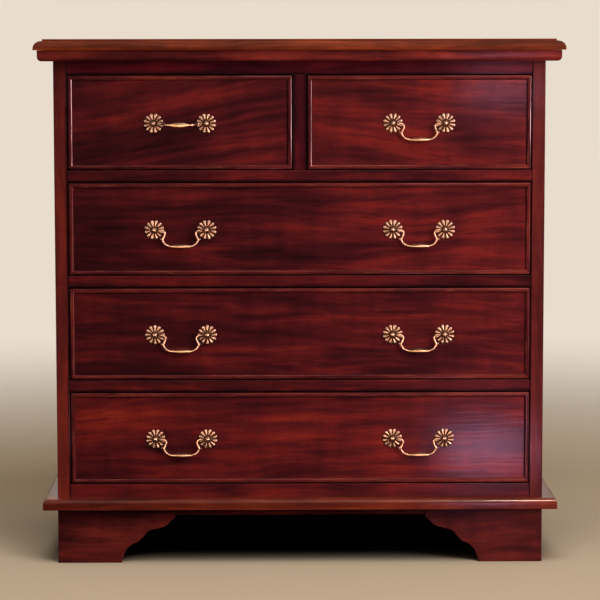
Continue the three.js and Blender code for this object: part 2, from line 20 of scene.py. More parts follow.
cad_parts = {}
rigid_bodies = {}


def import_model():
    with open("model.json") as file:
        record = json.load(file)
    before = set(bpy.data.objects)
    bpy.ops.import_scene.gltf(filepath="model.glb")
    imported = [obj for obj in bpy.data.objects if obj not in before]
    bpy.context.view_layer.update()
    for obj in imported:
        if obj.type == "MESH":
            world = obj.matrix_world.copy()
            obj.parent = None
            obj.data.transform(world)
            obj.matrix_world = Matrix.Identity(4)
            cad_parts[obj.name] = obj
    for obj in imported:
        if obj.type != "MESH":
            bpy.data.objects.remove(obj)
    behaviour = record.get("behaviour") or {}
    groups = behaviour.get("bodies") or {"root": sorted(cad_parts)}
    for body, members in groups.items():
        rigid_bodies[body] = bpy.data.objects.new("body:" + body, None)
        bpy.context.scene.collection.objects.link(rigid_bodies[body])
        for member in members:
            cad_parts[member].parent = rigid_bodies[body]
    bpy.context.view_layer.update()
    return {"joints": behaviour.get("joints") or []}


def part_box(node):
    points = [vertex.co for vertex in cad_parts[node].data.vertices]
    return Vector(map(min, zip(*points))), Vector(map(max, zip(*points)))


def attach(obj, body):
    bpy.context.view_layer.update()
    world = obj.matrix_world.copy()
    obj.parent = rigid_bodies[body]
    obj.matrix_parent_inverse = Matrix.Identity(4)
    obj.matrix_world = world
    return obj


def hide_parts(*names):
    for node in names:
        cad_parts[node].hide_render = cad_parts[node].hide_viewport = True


log = logging.getLogger("chest")

MM = 0.001
METRES_TO_MM = 1000.0
# Edges sharper than this angle, in degrees, are rounded, with this many flats
ARRIS_ANGLE = 32.0
ARRIS_FLATS = 2
# Packed corners nearer together than this, in millimetres, are made one
WELD_REACH = 0.01
# How far apart two neighbouring boards lie in the log, in millimetres
LOG_STEP = (317.0, 131.0, 73.0)
# A quarter of a turn
QUARTER = 0.25

Point = tuple[float, float]
Triple = tuple[float, float, float]
Ring = list[Vector]
# A mesh's vertices, and its faces as numbers of vertices
Mesh = tuple[list[Vector], list[list[int]]]
# Places from 0 to 1 with sRGB hex values
Stops = tuple[tuple[float, str], ...]


class Grain(Enum):
    """The way a board's fibres run, with the order that brings that axis first."""

    ACROSS_CHEST = ("X", "Y", "Z")
    FRONT_TO_BACK = ("Y", "Z", "X")
    UPRIGHT = ("Z", "X", "Y")


class Side(Enum):
    """A side of the chest as seen from the front, with its sign along x."""

    LEFT = -1
    RIGHT = 1


# Materials


def linear(code: str) -> tuple[float, float, float, float]:
    """Turns an sRGB colour to a linear one.

    Args:
        code: Its hex value, such as "#5a1712".

    Returns:
        The linear colour, with full alpha.
    """
    channels = [int(code[start : start + 2], 16) / 255 for start in (1, 3, 5)]
    curve = [c / 12.92 if c <= 0.04045 else ((c + 0.055) / 1.055) ** 2.4 for c in channels]
    return (curve[0], curve[1], curve[2], 1.0)


def add_node(
    tree: bpy.types.NodeTree,
    kind: str,
    inputs: Optional[dict] = None,
    stops: Stops = (),
    **settings: object,
) -> bpy.types.Node:
    """Adds a node with its settings and links.

    Args:
        tree: The node tree that takes the node.
        kind: The node's type, such as "ShaderNodeMath".
        inputs: Sockets by name or number, each with a value or the socket that feeds it.
        stops: For a colour ramp, its colours and their places.
        settings: Properties of the node itself, such as operation.

    Returns:
        The new node.
    """
    made = tree.nodes.new(kind)
    for key, value in settings.items():
        setattr(made, key, value)
    for key, value in (inputs or {}).items():
        if isinstance(value, bpy.types.NodeSocket):
            tree.links.new(value, made.inputs[key])
        else:
            made.inputs[key].default_value = value
    for index, (place, code) in enumerate(stops):
        elements = made.color_ramp.elements
        element = elements[index] if index < len(elements) else elements.new(place)
        element.position = place
        element.color = linear(code)
    return made


def new_material(name: str) -> tuple[bpy.types.Material, bpy.types.NodeTree, bpy.types.Node]:
    """Makes an empty material with its output.

    Args:
        name: The material's name.

    Returns:
        The material, its node tree and its output node.
    """
    material = bpy.data.materials.new(name)
    material.use_nodes = True
    tree = material.node_tree
    tree.nodes.clear()
    return material, tree, tree.nodes.new("ShaderNodeOutputMaterial")


@dataclass(frozen=True)
class Figure:
    """A pattern drawn out along the grain, sized in millimetres.

    Its share is its strength, its detail how many finer layers it has, and its levels the
    values at which its marks set in and are full.
    """

    length: float
    width: float
    share: float = 1.0
    detail: float = 2.0
    levels: Point = (0.0, 1.0)


@dataclass
class GrainField:
    """Patterns that follow a board's grain, sized in millimetres."""

    tree: bpy.types.NodeTree
    place: bpy.types.NodeSocket

    @classmethod
    def along(
        cls, tree: bpy.types.NodeTree, grain: Grain, shift: Triple, slant: float = 0.0
    ) -> "GrainField":
        """Lays the field out with its first axis along the grain.

        Args:
            tree: The node tree of the material.
            grain: The way the fibres run.
            shift: Which part of the log the board was sawn from, in millimetres.
            slant: How far the fibres rise to the right across the front, in degrees.

        Returns:
            The field.
        """
        place = add_node(tree, "ShaderNodeTexCoord").outputs["Object"]
        scaled = add_node(
            tree, "ShaderNodeVectorMath", {0: place, 1: (METRES_TO_MM,) * 3}, operation="MULTIPLY"
        )
        slanted = add_node(
            tree,
            "ShaderNodeVectorRotate",
            {"Vector": scaled.outputs[0], "Angle": math.radians(slant)},
            rotation_type="Y_AXIS",
        )
        split = add_node(tree, "ShaderNodeSeparateXYZ", {0: slanted.outputs[0]})
        order = {
            target: split.outputs[source] for target, source in zip("XYZ", grain.value)
        }
        turned = add_node(tree, "ShaderNodeCombineXYZ", order)
        moved = add_node(
            tree, "ShaderNodeVectorMath", {0: turned.outputs[0], 1: shift}, operation="ADD"
        )
        return cls(tree, moved.outputs[0])

    def noise(self, figure: Figure, rough: float = 0.5) -> bpy.types.NodeSocket:
        """Gives a figure's soft noise.

        Args:
            figure: Its size and how many finer layers it has.
            rough: How strong the finer layers are.

        Returns:
            A socket with values round 0.5.
        """
        stretched = add_node(
            self.tree,
            "ShaderNodeVectorMath",
            {0: self.place, 1: (1 / figure.length, 1 / figure.width, 1 / figure.width)},
            operation="MULTIPLY",
        )
        made = add_node(
            self.tree,
            "ShaderNodeTexNoise",
            {"Vector": stretched.outputs[0], "Scale": 1.0, "Detail": figure.detail,
             "Roughness": rough},
        )
        return made.outputs["Fac"]

    def wandering(self, bends: Figure, reach: float) -> "GrainField":
        """Gives the same field with its grain lines bent.

        Args:
            bends: The size of a bend.
            reach: How far a line can be pushed aside, in millimetres.

        Returns:
            The bent field.
        """
        push = add_node(
            self.tree,
            "ShaderNodeMath",
            {0: self.noise(bends), 1: reach, 2: -reach / 2},
            operation="MULTIPLY_ADD",
        )
        aside = add_node(
            self.tree, "ShaderNodeCombineXYZ", {"Y": push.outputs[0], "Z": push.outputs[0]}
        )
        bent = add_node(
            self.tree,
            "ShaderNodeVectorMath",
            {0: self.place, 1: aside.outputs[0]},
            operation="ADD",
        )
        return GrainField(self.tree, bent.outputs[0])

    def blend(self, parts: Sequence[tuple[bpy.types.NodeSocket, float]]) -> bpy.types.NodeSocket:
        """Adds noises up round 0.5.

        Args:
            parts: Sockets with values round 0.5, each with its strength.

        Returns:
            A socket with the sum.
        """
        total: object = 0.5 - 0.5 * sum(strength for _, strength in parts)
        for socket, strength in parts:
            total = add_node(
                self.tree, "ShaderNodeMath", {0: socket, 1: strength, 2: total},
                operation="MULTIPLY_ADD",
            ).outputs[0]
        return total

    def step(
        self, socket: bpy.types.NodeSocket, levels: Point, share: float
    ) -> bpy.types.NodeSocket:
        """Turns the values between two levels into a slope.

        Args:
            socket: The values.
            levels: Where the slope starts and ends.
            share: How high it rises from 0.

        Returns:
            A socket with the slope.
        """
        made = add_node(
            self.tree,
            "ShaderNodeMapRange",
            {"Value": socket, "From Min": levels[0], "From Max": levels[1], "To Min": 0.0,
             "To Max": share},
            interpolation_type="SMOOTHSTEP",
        )
        return made.outputs[0]

    def marks(self, figure: Figure) -> bpy.types.NodeSocket:
        """Gives a figure's marks, from 0 beside them to its share on them."""
        return self.step(self.noise(figure), figure.levels, figure.share)

    def tint(
        self, colour: bpy.types.NodeSocket, share: bpy.types.NodeSocket, code: str
    ) -> bpy.types.NodeSocket:
        """Mixes a colour into another.

        Args:
            colour: The other.
            share: How much of the first there is at each point.
            code: The first, as sRGB hex.

        Returns:
            A socket with the mixed colour.
        """
        made = add_node(
            self.tree,
            "ShaderNodeMix",
            {"Factor": share, "A": colour, "B": linear(code)},
            data_type="RGBA",
        )
        return made.outputs["Result"]


def place_along(tree: bpy.types.NodeTree, axis: str) -> bpy.types.NodeSocket:
    """Gives a socket with a point's place along an axis of the chest, in metres."""
    spot = add_node(tree, "ShaderNodeTexCoord").outputs["Object"]
    return add_node(tree, "ShaderNodeSeparateXYZ", {0: spot}).outputs[axis]


def nearness(
    tree: bpy.types.NodeTree, along: bpy.types.NodeSocket, place: float, reach: float,
    peak: float,
) -> bpy.types.NodeSocket:
    """Tells how near a point is to a place on an axis.

    Args:
        tree: The node tree of the material.
        along: The point's own place on that axis, in metres.
        place: The place, in millimetres.
        reach: How far from it the value falls to 0, in millimetres.
        peak: The value at the place itself.

    Returns:
        A socket with the value.
    """
    off = add_node(tree, "ShaderNodeMath", {0: along, 1: place * MM}, operation="SUBTRACT")
    away = add_node(tree, "ShaderNodeMath", {0: off.outputs[0]}, operation="ABSOLUTE")
    return add_node(
        tree,
        "ShaderNodeMapRange",
        {"Value": away.outputs[0], "From Min": 0.0, "From Max": reach * MM, "To Min": peak,
         "To Max": 0.0},
    ).outputs[0]


# Where shades lie on a wood's figure: three of bare wood, and five of mahogany, far apart or
# close together
BARE_PLACES = (0.3, 0.5, 0.72)
WIDE_PLACES = (0.24, 0.40, 0.52, 0.66, 0.82)
CLOSE_PLACES = (0.22, 0.40, 0.52, 0.64, 0.80)


@dataclass(frozen=True)
class PolishedMahogany:
    """Mahogany, planed, stained red and French polished.

    Clouds of dark and fiery red lie along the grain with fine dark dashes and pores. A clear
    gloss over them ripples a little, so reflections break up along and across the grain.
    """

    name: str
    grain: Grain
    shift: Triple = (0.0, 0.0, 0.0)
    slant: float = 0.0
    stops: Stops = tuple(
        zip(WIDE_PLACES, ("#21080b", "#3a0e12", "#521517", "#6e1d19", "#8b2d1d"))
    )
    # How much lighter the board is at the chest's left and right, that far from its middle
    lift: Point = (0.0, 0.0)
    lift_reach: float = 430.0
    bends: Figure = Figure(300.0, 90.0, detail=1.0)
    bend_reach: float = 40.0
    clouds: Figure = Figure(240.0, 62.0, 0.62)
    streaks: Figure = Figure(170.0, 13.0, 0.5)
    fibres: Figure = Figure(60.0, 3.2, 0.18)
    curls: Figure = Figure(28.0, 90.0, 0.16)
    dashes: Figure = Figure(70.0, 5.5, 0.6, levels=(0.62, 0.78))
    dash_colour: str = "#220609"
    # Mahogany's pores are 0.2 mm wide, drawn wider here so that they show
    pores: Figure = Figure(10.0, 0.9, 0.4, detail=0.0, levels=(0.62, 0.76))
    # The colour of the pores, and of the dark along edges and gaps: dark polish and painted shade
    pore_and_shade_colour: str = "#180406"
    # Spots where the polish is rubbed through, and the wood that shows there
    rubs: Figure = Figure(34.0, 4.0, 0.0, detail=3.0, levels=(0.55, 0.72))
    rub_colour: str = "#9c5540"
    # Arrises darkened by painted shade at the drawer gaps and by dark polish collected there: the
    # axis across each, its place on that axis and how far the darkness reaches, in millimetres
    dark_arrises: tuple[tuple[str, float, float], ...] = ()
    arris_peak: float = 1.3
    # What makes the edge of the dark polish and painted shade ragged, where it sets in and is
    # full, and how much of it there is
    rags: Figure = Figure(30.0, 8.0, 0.7)
    stain_and_shade_levels: Point = (0.25, 1.2)
    stain_and_shade_share: float = 0.92
    # The wood's own soft sheen under the gloss, and its relief
    wood_roughness: float = 0.5
    sheen_level: float = 0.14
    fibre_relief_share: float = 0.1
    fibre_depth: float = 0.3
    gloss: float = 1.0
    gloss_ior: float = 1.5
    gloss_roughness: float = 0.16
    # The ripples in the polish: long ones, fine ones across the grain, and soft patches
    ripples: tuple[Figure, ...] = (
        Figure(110.0, 7.0),
        Figure(2.6, 16.0, 0.12, detail=0.0),
        Figure(16.0, 12.0, 0.3, detail=1.0),
    )
    ripple_relief_share: float = 0.5
    ripple_depth: float = 0.22

    def make(self) -> bpy.types.Material:
        """Builds the material.

        Returns:
            The new material.
        """
        material, tree, output = new_material(self.name)
        straight = GrainField.along(tree, self.grain, self.shift, self.slant)
        bent = straight.wandering(self.bends, self.bend_reach)
        layers = [(bent, figure) for figure in (self.clouds, self.streaks, self.fibres)]
        layers.append((straight, self.curls))
        value = bent.blend([(field.noise(figure), figure.share) for field, figure in layers])
        if any(self.lift):
            value = self.lifted(tree, value)
        colour = add_node(tree, "ShaderNodeValToRGB", {"Fac": value}, self.stops).outputs[0]
        colour = bent.tint(colour, bent.marks(self.dashes), self.dash_colour)
        colour = bent.tint(colour, straight.marks(self.pores), self.pore_and_shade_colour)
        if self.rubs.share:
            colour = bent.tint(colour, straight.marks(self.rubs), self.rub_colour)
        # Painted shade along the drawer gaps and beads, with dark polish collected there
        margin = add_node(tree, "ShaderNodeAttribute", attribute_name="margin").outputs["Fac"]
        for axis, place, reach in self.dark_arrises:
            near = nearness(tree, place_along(tree, axis), place, reach, self.arris_peak)
            margin = add_node(
                tree, "ShaderNodeMath", {0: margin, 1: near}, operation="MAXIMUM"
            ).outputs[0]
        ragged = straight.blend([(margin, 1.0), (straight.noise(self.rags), self.rags.share)])
        dark_stain_and_shade = bent.step(ragged, self.stain_and_shade_levels, self.stain_and_shade_share)
        colour = bent.tint(colour, dark_stain_and_shade, self.pore_and_shade_colour)
        wood_relief = add_node(
            tree,
            "ShaderNodeBump",
            {"Height": value, "Strength": self.fibre_relief_share,
             "Distance": self.fibre_depth * MM},
        )
        ripple = straight.blend([(straight.noise(part), part.share) for part in self.ripples])
        polish_relief = add_node(
            tree,
            "ShaderNodeBump",
            {"Height": ripple, "Strength": self.ripple_relief_share,
             "Distance": self.ripple_depth * MM},
        )
        shader = add_node(
            tree,
            "ShaderNodeBsdfPrincipled",
            {
                "Base Color": colour,
                "Roughness": self.wood_roughness,
                "Specular IOR Level": self.sheen_level,
                "Normal": wood_relief.outputs[0],
                "Coat Weight": self.gloss,
                "Coat Roughness": self.gloss_roughness,
                "Coat IOR": self.gloss_ior,
                "Coat Normal": polish_relief.outputs[0],
            },
        )
        tree.links.new(shader.outputs[0], output.inputs["Surface"])
        return material

    def lifted(
        self, tree: bpy.types.NodeTree, value: bpy.types.NodeSocket
    ) -> bpy.types.NodeSocket:
        """Makes a board lighter or darker from one end to the other.

        Args:
            tree: The node tree of the material.
            value: The figure's value.

        Returns:
            A socket with the value raised.
        """
        reach = self.lift_reach * MM
        rise = add_node(
            tree,
            "ShaderNodeMapRange",
            {"Value": place_along(tree, "X"), "From Min": -reach, "From Max": reach,
             "To Min": self.lift[0], "To Max": self.lift[1]},
        ).outputs[0]
        return add_node(tree, "ShaderNodeMath", {0: value, 1: rise}).outputs[0]


@dataclass(frozen=True)
class BareWood:
    """Sawn and planed wood with no finish: matt, with growth bands along the grain."""

    name: str
    grain: Grain
    stops: Stops
    band_colour: str
    groove_colour: str = "#4a3015"
    shift: Triple = (0.0, 0.0, 0.0)
    bends: Figure = Figure(500.0, 120.0, detail=1.0)
    bend_reach: float = 30.0
    clouds: Figure = Figure(260.0, 60.0, 0.9)
    fibres: Figure = Figure(80.0, 1.6, 0.7)
    bands: Figure = Figure(420.0, 7.0, 0.7, detail=3.0, levels=(0.5, 0.66))
    pores: Figure = Figure(9.0, 0.8, 0.45, detail=0.0, levels=(0.6, 0.72))
    relief_share: float = 0.3
    relief_depth: float = 0.3
    roughness: float = 0.68
    # Whether boards that face front or back have their fibres running across the chest, and
    # how squarely they have to face there
    turned_boards: bool = False
    facing_share: float = 0.7
    # Where upright boards meet, in millimetres along x, the groove's half width and darkness,
    # and how far apart two neighbours lie in the log
    joints: tuple[float, ...] = ()
    joint_reach: float = 2.6
    groove_share: float = 0.9
    log_step: Triple = (731.0, 97.0, 53.0)

    def make(self) -> bpy.types.Material:
        """Builds the material.

        Returns:
            The new material.
        """
        material, tree, output = new_material(self.name)
        straight = GrainField.along(tree, self.grain, self.shift)
        shade = None
        if self.turned_boards:
            straight = self.turn_boards(straight)
        if self.joints:
            straight, shade = self.part_boards(straight)
        bent = straight.wandering(self.bends, self.bend_reach)
        value = bent.blend([(bent.noise(part), part.share) for part in (self.clouds, self.fibres)])
        colour = add_node(tree, "ShaderNodeValToRGB", {"Fac": value}, self.stops).outputs[0]
        colour = bent.tint(colour, bent.marks(self.bands), self.band_colour)
        colour = bent.tint(colour, straight.marks(self.pores), self.band_colour)
        if shade:
            colour = bent.tint(colour, shade, self.groove_colour)
        relief = add_node(
            tree,
            "ShaderNodeBump",
            {"Height": value, "Strength": self.relief_share, "Distance": self.relief_depth * MM},
        )
        shader = add_node(
            tree,
            "ShaderNodeBsdfPrincipled",
            {"Base Color": colour, "Roughness": self.roughness, "Normal": relief.outputs[0]},
        )
        tree.links.new(shader.outputs[0], output.inputs["Surface"])
        return material

    def turn_boards(self, field: GrainField) -> GrainField:
        """Lets the fibres run across the chest where a board faces front or back.

        Args:
            field: The grain's field of the boards that face sideways.

        Returns:
            The field for both.
        """
        tree = field.tree
        across = GrainField.along(tree, Grain.ACROSS_CHEST, self.shift)
        normal = add_node(tree, "ShaderNodeNewGeometry").outputs["True Normal"]
        facing = add_node(tree, "ShaderNodeSeparateXYZ", {0: normal}).outputs["Y"]
        tilt = add_node(tree, "ShaderNodeMath", {0: facing}, operation="ABSOLUTE").outputs[0]
        faces_front = add_node(
            tree, "ShaderNodeMath", {0: tilt, 1: self.facing_share}, operation="GREATER_THAN"
        ).outputs[0]
        chosen = add_node(
            tree, "ShaderNodeMix",
            {0: faces_front, 4: field.place, 5: across.place},
            data_type="VECTOR",
        )
        return GrainField(tree, chosen.outputs[1])

    def part_boards(self, field: GrainField) -> tuple[GrainField, bpy.types.NodeSocket]:
        """Gives each upright board its own piece of the log.

        Args:
            field: The grain's field over the whole panel.

        Returns:
            The field cut at the joints, and the shade in the grooves.
        """
        tree = field.tree
        across = place_along(tree, "X")
        count: object = 0.0
        shade: object = 0.0
        for joint in self.joints:
            beyond = add_node(
                tree, "ShaderNodeMath", {0: across, 1: joint * MM}, operation="GREATER_THAN"
            ).outputs[0]
            count = add_node(tree, "ShaderNodeMath", {0: beyond, 1: count}).outputs[0]
            near = nearness(tree, across, joint, self.joint_reach, self.groove_share)
            shade = add_node(
                tree, "ShaderNodeMath", {0: near, 1: shade}, operation="MAXIMUM"
            ).outputs[0]
        moved = add_node(
            tree, "ShaderNodeVectorMath", {0: self.log_step, "Scale": count}, operation="SCALE"
        )
        cut = add_node(
            tree, "ShaderNodeVectorMath", {0: field.place, 1: moved.outputs[0]}, operation="ADD"
        )
        return GrainField(tree, cut.outputs[0]), shade


@dataclass(frozen=True)
class AgedBrass:
    """Cast brass, lacquered and aged.

    It is rosy on what stands proud, golden on what is handled, and dark brown in the hollows.
    """

    name: str
    golden: str = "#cba178"
    rosy: str = "#c19a89"
    dull: str = "#8f6434"
    patina: str = "#3c1e08"
    # Dull clouds, and how strong their finer layers are
    clouds: Figure = Figure(5.0, 5.0, 0.45, detail=3.0, levels=(0.5, 0.75))
    cloud_roughness: float = 0.6
    # How much the clouds break the patina's edge up, where the patina sets in and is full, and
    # how much of it there is
    uneven_share: float = 0.35
    patina_levels: Point = (0.25, 0.9)
    patina_share: float = 0.96
    roughness: float = 0.33
    patina_roughness: float = 0.3
    relief_share: float = 0.12
    relief_depth: float = 0.2

    def make(self) -> bpy.types.Material:
        """Builds the material.

        Returns:
            The new material.
        """
        material, tree, output = new_material(self.name)
        field = GrainField.along(tree, Grain.ACROSS_CHEST, (0.0, 0.0, 0.0))
        clouds = field.noise(self.clouds, self.cloud_roughness)
        blush = add_node(tree, "ShaderNodeAttribute", attribute_name="blush").outputs["Fac"]
        colour = add_node(
            tree,
            "ShaderNodeMix",
            {"Factor": blush, "A": linear(self.golden), "B": linear(self.rosy)},
            data_type="RGBA",
        ).outputs["Result"]
        dulled = field.step(clouds, self.clouds.levels, self.clouds.share)
        colour = field.tint(colour, dulled, self.dull)
        recess = add_node(tree, "ShaderNodeAttribute", attribute_name="recess").outputs["Fac"]
        uneven = field.blend([(recess, 1.0), (clouds, self.uneven_share)])
        shade = field.step(uneven, self.patina_levels, self.patina_share)
        colour = field.tint(colour, shade, self.patina)
        rough = add_node(
            tree,
            "ShaderNodeMath",
            {0: shade, 1: self.patina_roughness, 2: self.roughness},
            operation="MULTIPLY_ADD",
        ).outputs[0]
        relief = add_node(
            tree,
            "ShaderNodeBump",
            {"Height": clouds, "Strength": self.relief_share, "Distance": self.relief_depth * MM},
        )
        shader = add_node(
            tree,
            "ShaderNodeBsdfPrincipled",
            {"Base Color": colour, "Metallic": 1.0, "Roughness": rough,
             "Normal": relief.outputs[0]},
        )
        tree.links.new(shader.outputs[0], output.inputs["Surface"])
        return material


# Mesh helpers


def arc(centre: Point, radii: Point, start: float, end: float, steps: int) -> list[Point]:
    """Gives points on part of an ellipse.

    Args:
        centre: The ellipse's middle.
        radii: Its half widths along the two axes.
        start: Where it starts, in turns from the first axis.
        end: Where it ends, in turns.
        steps: How many stretches it has.

    Returns:
        The points, both ends included.
    """
    turns = [start + (end - start) * index / steps for index in range(steps + 1)]
    return [
        (
            centre[0] + radii[0] * math.cos(2 * math.pi * turn),
            centre[1] + radii[1] * math.sin(2 * math.pi * turn),
        )
        for turn in turns
    ]


def circle(radius: float, sides: int) -> list[Point]:
    """Gives points round a circle about the origin, the first on the first axis."""
    turns = [2 * math.pi * index / sides for index in range(sides)]
    return [(radius * math.cos(turn), radius * math.sin(turn)) for turn in turns]


def smooth_curve(points: Sequence[Point], steps: int) -> list[Point]:
    """Gives points on a smooth curve through others.

    Args:
        points: What the curve passes through.
        steps: How many stretches the whole curve has.

    Returns:
        The points, both ends included.
    """
    last = len(points) - 1
    found = []
    for index in range(steps + 1):
        place = index / steps * last
        start = min(int(place), last - 1)
        share = place - start
        near = [points[max(0, min(last, start + offset))] for offset in (-1, 0, 1, 2)]
        found.append(
            tuple(spline_value([point[axis] for point in near], share) for axis in range(2))
        )
    return found


def between(ends: Point, share: float) -> float:
    """Gives the value between two ends by a share."""
    return ends[0] + (ends[1] - ends[0]) * share


def spline_value(near: Sequence[float], share: float) -> float:
    """Gives a smooth curve's value between the second and third of four.

    Args:
        near: The four values in order.
        share: How far it is from the second to the third.

    Returns:
        The value.
    """
    before, start, end, after = near
    slope_in = (end - before) / 2
    slope_out = (after - start) / 2
    cubic = 2 * start - 2 * end + slope_in + slope_out
    square = -3 * start + 3 * end - 2 * slope_in - slope_out
    return ((cubic * share + square) * share + slope_in) * share + start


def loft(rings: Sequence[Ring], capped: bool = True) -> Mesh:
    """Joins closed rings of points in order.

    Args:
        rings: Rings with the same number of points each.
        capped: Whether the first and last ring are filled.

    Returns:
        Vertices and faces. The faces between two rings come first, ring by ring.
    """
    count = len(rings[0])
    vertices = [point for ring in rings for point in ring]
    faces = []
    for ring in range(len(rings) - 1):
        for index in range(count):
            near, far = ring * count, (ring + 1) * count
            after = (index + 1) % count
            faces.append([near + index, near + after, far + after, far + index])
    if capped:
        faces.append(list(range(count)))
        faces.append([len(vertices) - count + index for index in range(count)])
    return vertices, faces


def make_piece(
    name: str,
    vertices: Sequence[Vector],
    faces: Sequence[Sequence[int]],
    materials: Sequence[bpy.types.Material],
    paint: Optional[Callable[[int], int]] = None,
    smooth: float = 0.0,
) -> bpy.types.Object:
    """Makes a mesh object in the scene with its faces turned outwards.

    Args:
        name: The piece's name.
        vertices: Its points, in metres.
        faces: Its faces as numbers of points.
        materials: Its materials.
        paint: Gives the material's number for a face's number.
        smooth: Edges under this angle, in degrees, are shaded smooth. 0 shades all flat.

    Returns:
        The object.
    """
    mesh = bpy.data.meshes.new(name)
    mesh.from_pydata([tuple(point) for point in vertices], [], [list(face) for face in faces])
    for material in materials:
        mesh.materials.append(material)
    if paint:
        for polygon in mesh.polygons:
            polygon.material_index = paint(polygon.index)
    build = bmesh.new()
    build.from_mesh(mesh)
    bmesh.ops.recalc_face_normals(build, faces=build.faces)
    build.to_mesh(mesh)
    build.free()
    if smooth:
        mesh.shade_smooth()
        mesh.set_sharp_from_angle(angle=math.radians(smooth))
    piece = bpy.data.objects.new(name, mesh)
    bpy.context.scene.collection.objects.link(piece)
    return piece


def mark(piece: bpy.types.Object, name: str, value_at: Callable[[int], float]) -> None:
    """Gives each point of a piece a number that its material reads.

    Args:
        piece: The piece.
        name: The number's name.
        value_at: Gives the number for a point's index.
    """
    marks = piece.data.attributes.new(name, "FLOAT", "POINT")
    marks.data.foreach_set("value", [value_at(index) for index in range(len(marks.data))])


def rectangle(low: Point, high: Point) -> list[Point]:
    """Gives the corners of a rectangle in order, from its lowest."""
    return [low, (high[0], low[1]), high, (low[0], high[1])]


def block(low: Vector, high: Vector) -> Mesh:
    """Gives the mesh of a box between two corners."""
    corners = rectangle((low.x, low.y), (high.x, high.y))
    return loft([[Vector((*corner, z)) for corner in corners] for z in (low.z, high.z)])


def soften(piece: bpy.types.Object, width: float) -> None:
    """Rounds a piece's sharp edges.

    Args:
        piece: The piece.
        width: How wide the rounding is, in millimetres.
    """
    bevel = piece.modifiers.new("arris", "BEVEL")
    bevel.width = width * MM
    bevel.segments = ARRIS_FLATS
    bevel.limit_method = "ANGLE"
    bevel.angle_limit = math.radians(ARRIS_ANGLE)
    bevel.use_clamp_overlap = True


def bake_modifiers(piece: bpy.types.Object) -> None:
    """Makes the effect of modifiers the mesh itself.

    Args:
        piece: The piece that has them.
    """
    graph = bpy.context.evaluated_depsgraph_get()
    shaped = bpy.data.meshes.new_from_object(piece.evaluated_get(graph))
    piece.modifiers.clear()
    piece.data = shaped


def carve(piece: bpy.types.Object, cutters: Sequence[Mesh]) -> None:
    """Cuts solids out of a piece.

    Args:
        piece: The piece.
        cutters: The mesh of each solid.
    """
    tools = [make_piece(f"{piece.name}_cutter", *cutter, ()) for cutter in cutters]
    for tool in tools:
        cut = piece.modifiers.new("cut", "BOOLEAN")
        cut.operation = "DIFFERENCE"
        cut.solver = "EXACT"
        cut.object = tool
    bake_modifiers(piece)
    for tool in tools:
        bpy.data.objects.remove(tool)


def dress_solid(name: str, finish: bpy.types.Material, arris: float) -> None:
    """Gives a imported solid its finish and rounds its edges.

    Args:
        name: The solid's name.
        finish: Its material.
        arris: How wide its rounded edges are, in millimetres.
    """
    solid = bpy.data.objects[name]
    solid.material_slots[0].link = "OBJECT"
    solid.material_slots[0].material = finish
    weld = solid.modifiers.new("weld", "WELD")
    weld.merge_threshold = WELD_REACH * MM
    soften(solid, arris)


def settle(piece: bpy.types.Object, body: str, solid: Optional[str] = None) -> None:
    """Ties a piece to its body.

    Args:
        piece: The piece, in place.
        body: The body that it moves with.
        solid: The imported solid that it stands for, if it does.
    """
    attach(piece, body)
    if solid:
        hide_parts(solid)


# The finishes of this chest

# Dark to light: the divider, painted darker as the shade between the drawers; the sides and
# feet; and the rail, painted darker as the top moulding's shade
SHADED_DIVIDER_STOPS = tuple(zip(WIDE_PLACES, ("#1a050b", "#2e0911", "#420d15", "#571318", "#6d1c1b")))
DULLED_STOPS = tuple(zip(WIDE_PLACES, ("#270b0c", "#421414", "#5a1d1a", "#75271e", "#8f3721")))
SHADED_STOPS = tuple(zip(WIDE_PLACES, ("#24060e", "#3c0b15", "#501019", "#67171c", "#80221f")))
# Dark to light: the base moulding, the top moulding, the top board's edge and the cock beads
WARM_STOPS = tuple(zip(CLOSE_PLACES, ("#2a0a08", "#46130d", "#5c1d11", "#732a15", "#8c3c1c")))
RED_BROWN_STOPS = tuple(
    zip(CLOSE_PLACES, ("#2b0c0c", "#461415", "#5f1d1a", "#792820", "#923827"))
)
OLIVE_STOPS = tuple(zip(CLOSE_PLACES, ("#301007", "#4c1a0b", "#622410", "#793014", "#93401c")))
BEAD_STOPS = tuple(zip(CLOSE_PLACES, ("#22080c", "#3a1014", "#4c181a", "#5e201d", "#722b20")))


def back_joints(count: int = 6) -> tuple[float, ...]:
    """Tells where the back's boards meet, in millimetres along x."""
    low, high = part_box("back_panel")
    return tuple((low.x + (high.x - low.x) * board / count) / MM for board in range(1, count))


